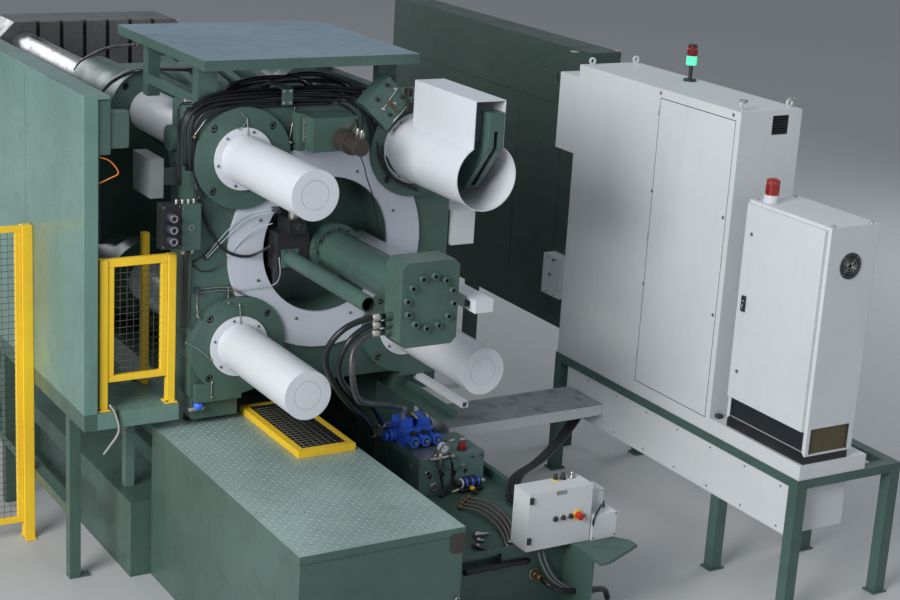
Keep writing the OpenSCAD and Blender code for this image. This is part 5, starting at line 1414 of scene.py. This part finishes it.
def add_control_box_fittings():
    """Glands and screws of the control box."""
    piece = Piece("control_box_fittings")
    for x, collar in ((0.948, YELLOW), (1.002, BLACK), (1.068, ZINC)):
        piece.ring((x, -1.285, 0.870), Z, 0.022, 0.010, 0.006, collar)
        gland(piece, (x, -1.285, 0.874), Z, 0.015, BLACK if collar is YELLOW else collar)
    gland(piece, (1.275, -1.340, 0.665), Z, 0.016, BLACK)
    for z, x in product((0.66, 0.79), (1.145, 1.24)):
        piece.screw((x, -1.372, z), -Y, 0.005, 0.003)
    for z, x in product((0.515, 0.655), (1.15, 1.31)):
        piece.screw((x, -1.440, z), -Y, 0.006, 0.004)
    for x in (0.791, 0.837, 1.039, 1.069):
        gland(piece, (x, -1.375, 0.500), -Z, 0.012, ZINC)
    gland(piece, (1.155, -1.43, 0.600), -Z, 0.010, ZINC)
    piece.done()


def add_control_door_fittings():
    """Buttons, lock and hinge screws of the control box's door, which ride on it."""
    piece = Piece("control_door_fittings")
    face = -1.424
    for x in (0.870, 0.925, 0.980):
        piece.ring((x, face, 0.685), -Y, 0.019, 0.0135, 0.005, ZINC, 24)
        piece.lathe((x, face - 0.014, 0.685), -Y, [(0.012, 0), (0.010, 0.003), (0, 0.003)], BLACK, 20)
    piece.lathe((1.033, face - 0.040, 0.685), -Y, [(0.022, 0), (0.018, 0.004), (0, 0.005)], RED, 28)
    lock(piece, (1.085, face, 0.669), 0.013, 0.007, 0.005, -Y)
    piece.box((0.867, face - 0.003, 0.838), (0.939, face + 0.001, 0.862), ZINC)
    for x in (0.872, 0.934):
        piece.screw((x, face - 0.003, 0.850), -Y, 0.003, 0.002)
    for z, x in product((0.570, 0.830), (0.683, 0.695)):
        piece.screw((x, face - 0.012, z), -Y, 0.003, 0.002)
    piece.done(body="control_box_door")


def guard_end_boxes(piece):
    """Boxes at the end of the guard."""
    piece.box((-1.402, 0.04, 2.771), (-1.285, 0.11, 2.986), GREEN)
    piece.box((-1.479, 0.03, 2.74), (-1.400, 0.14, 3.058), GREEN)
    for z, x in product((2.785, 2.972), (-1.39, -1.297)):
        piece.socket_bolt((x, 0.04, z), -Y, 0.006, 0.006)


def tank_fittings(piece):
    """Plate and plug of the tank, and the outlet of the base frame."""
    piece.box((-0.159, -1.924, 0.856), (-0.078, -1.9195, 0.965), BROWN)
    hex_plug(piece, (-0.100, -1.9195, 0.569), 0.014, 0.013, 0.008, 18)
    piece.ring((0.806, -1.322, 0.297), -Y, 0.036, 0.014, 0.020, ZINC)
    gland(piece, (0.812, -1.345, 0.294), -Y, 0.026, BRASS)


def anchor_plates(piece):
    """Anchor plates along the guard's foot."""
    for y in (0.316, 1.615, 2.915, 4.265):
        piece.box((-1.482, y - 0.035, 0.0), (-1.425, y + 0.035, 0.010), GREEN)
        piece.hex_bolt((-1.45, y, 0.010), Z, 0.010, 0.012)


def add_frame_details():
    """Other small green parts."""
    piece = Piece("frame_details")
    guard_end_boxes(piece)
    tank_fittings(piece)
    anchor_plates(piece)
    piece.done()


add_camera()
add_hoses()
add_light()
add_floor()
paint_nodes()
paint_details()
add_fences()
add_grating()
add_chequer_plates()
add_bolts()
add_wires()
add_clamp_fittings()
add_terminal_fittings()
add_valve_fittings()
add_deck_couplings()
add_cabinet_details()
add_small_door_details()
add_control_box_fittings()
add_control_door_fittings()
add_frame_details()

scene = bpy.context.scene
scene.view_settings.view_transform = "Standard"
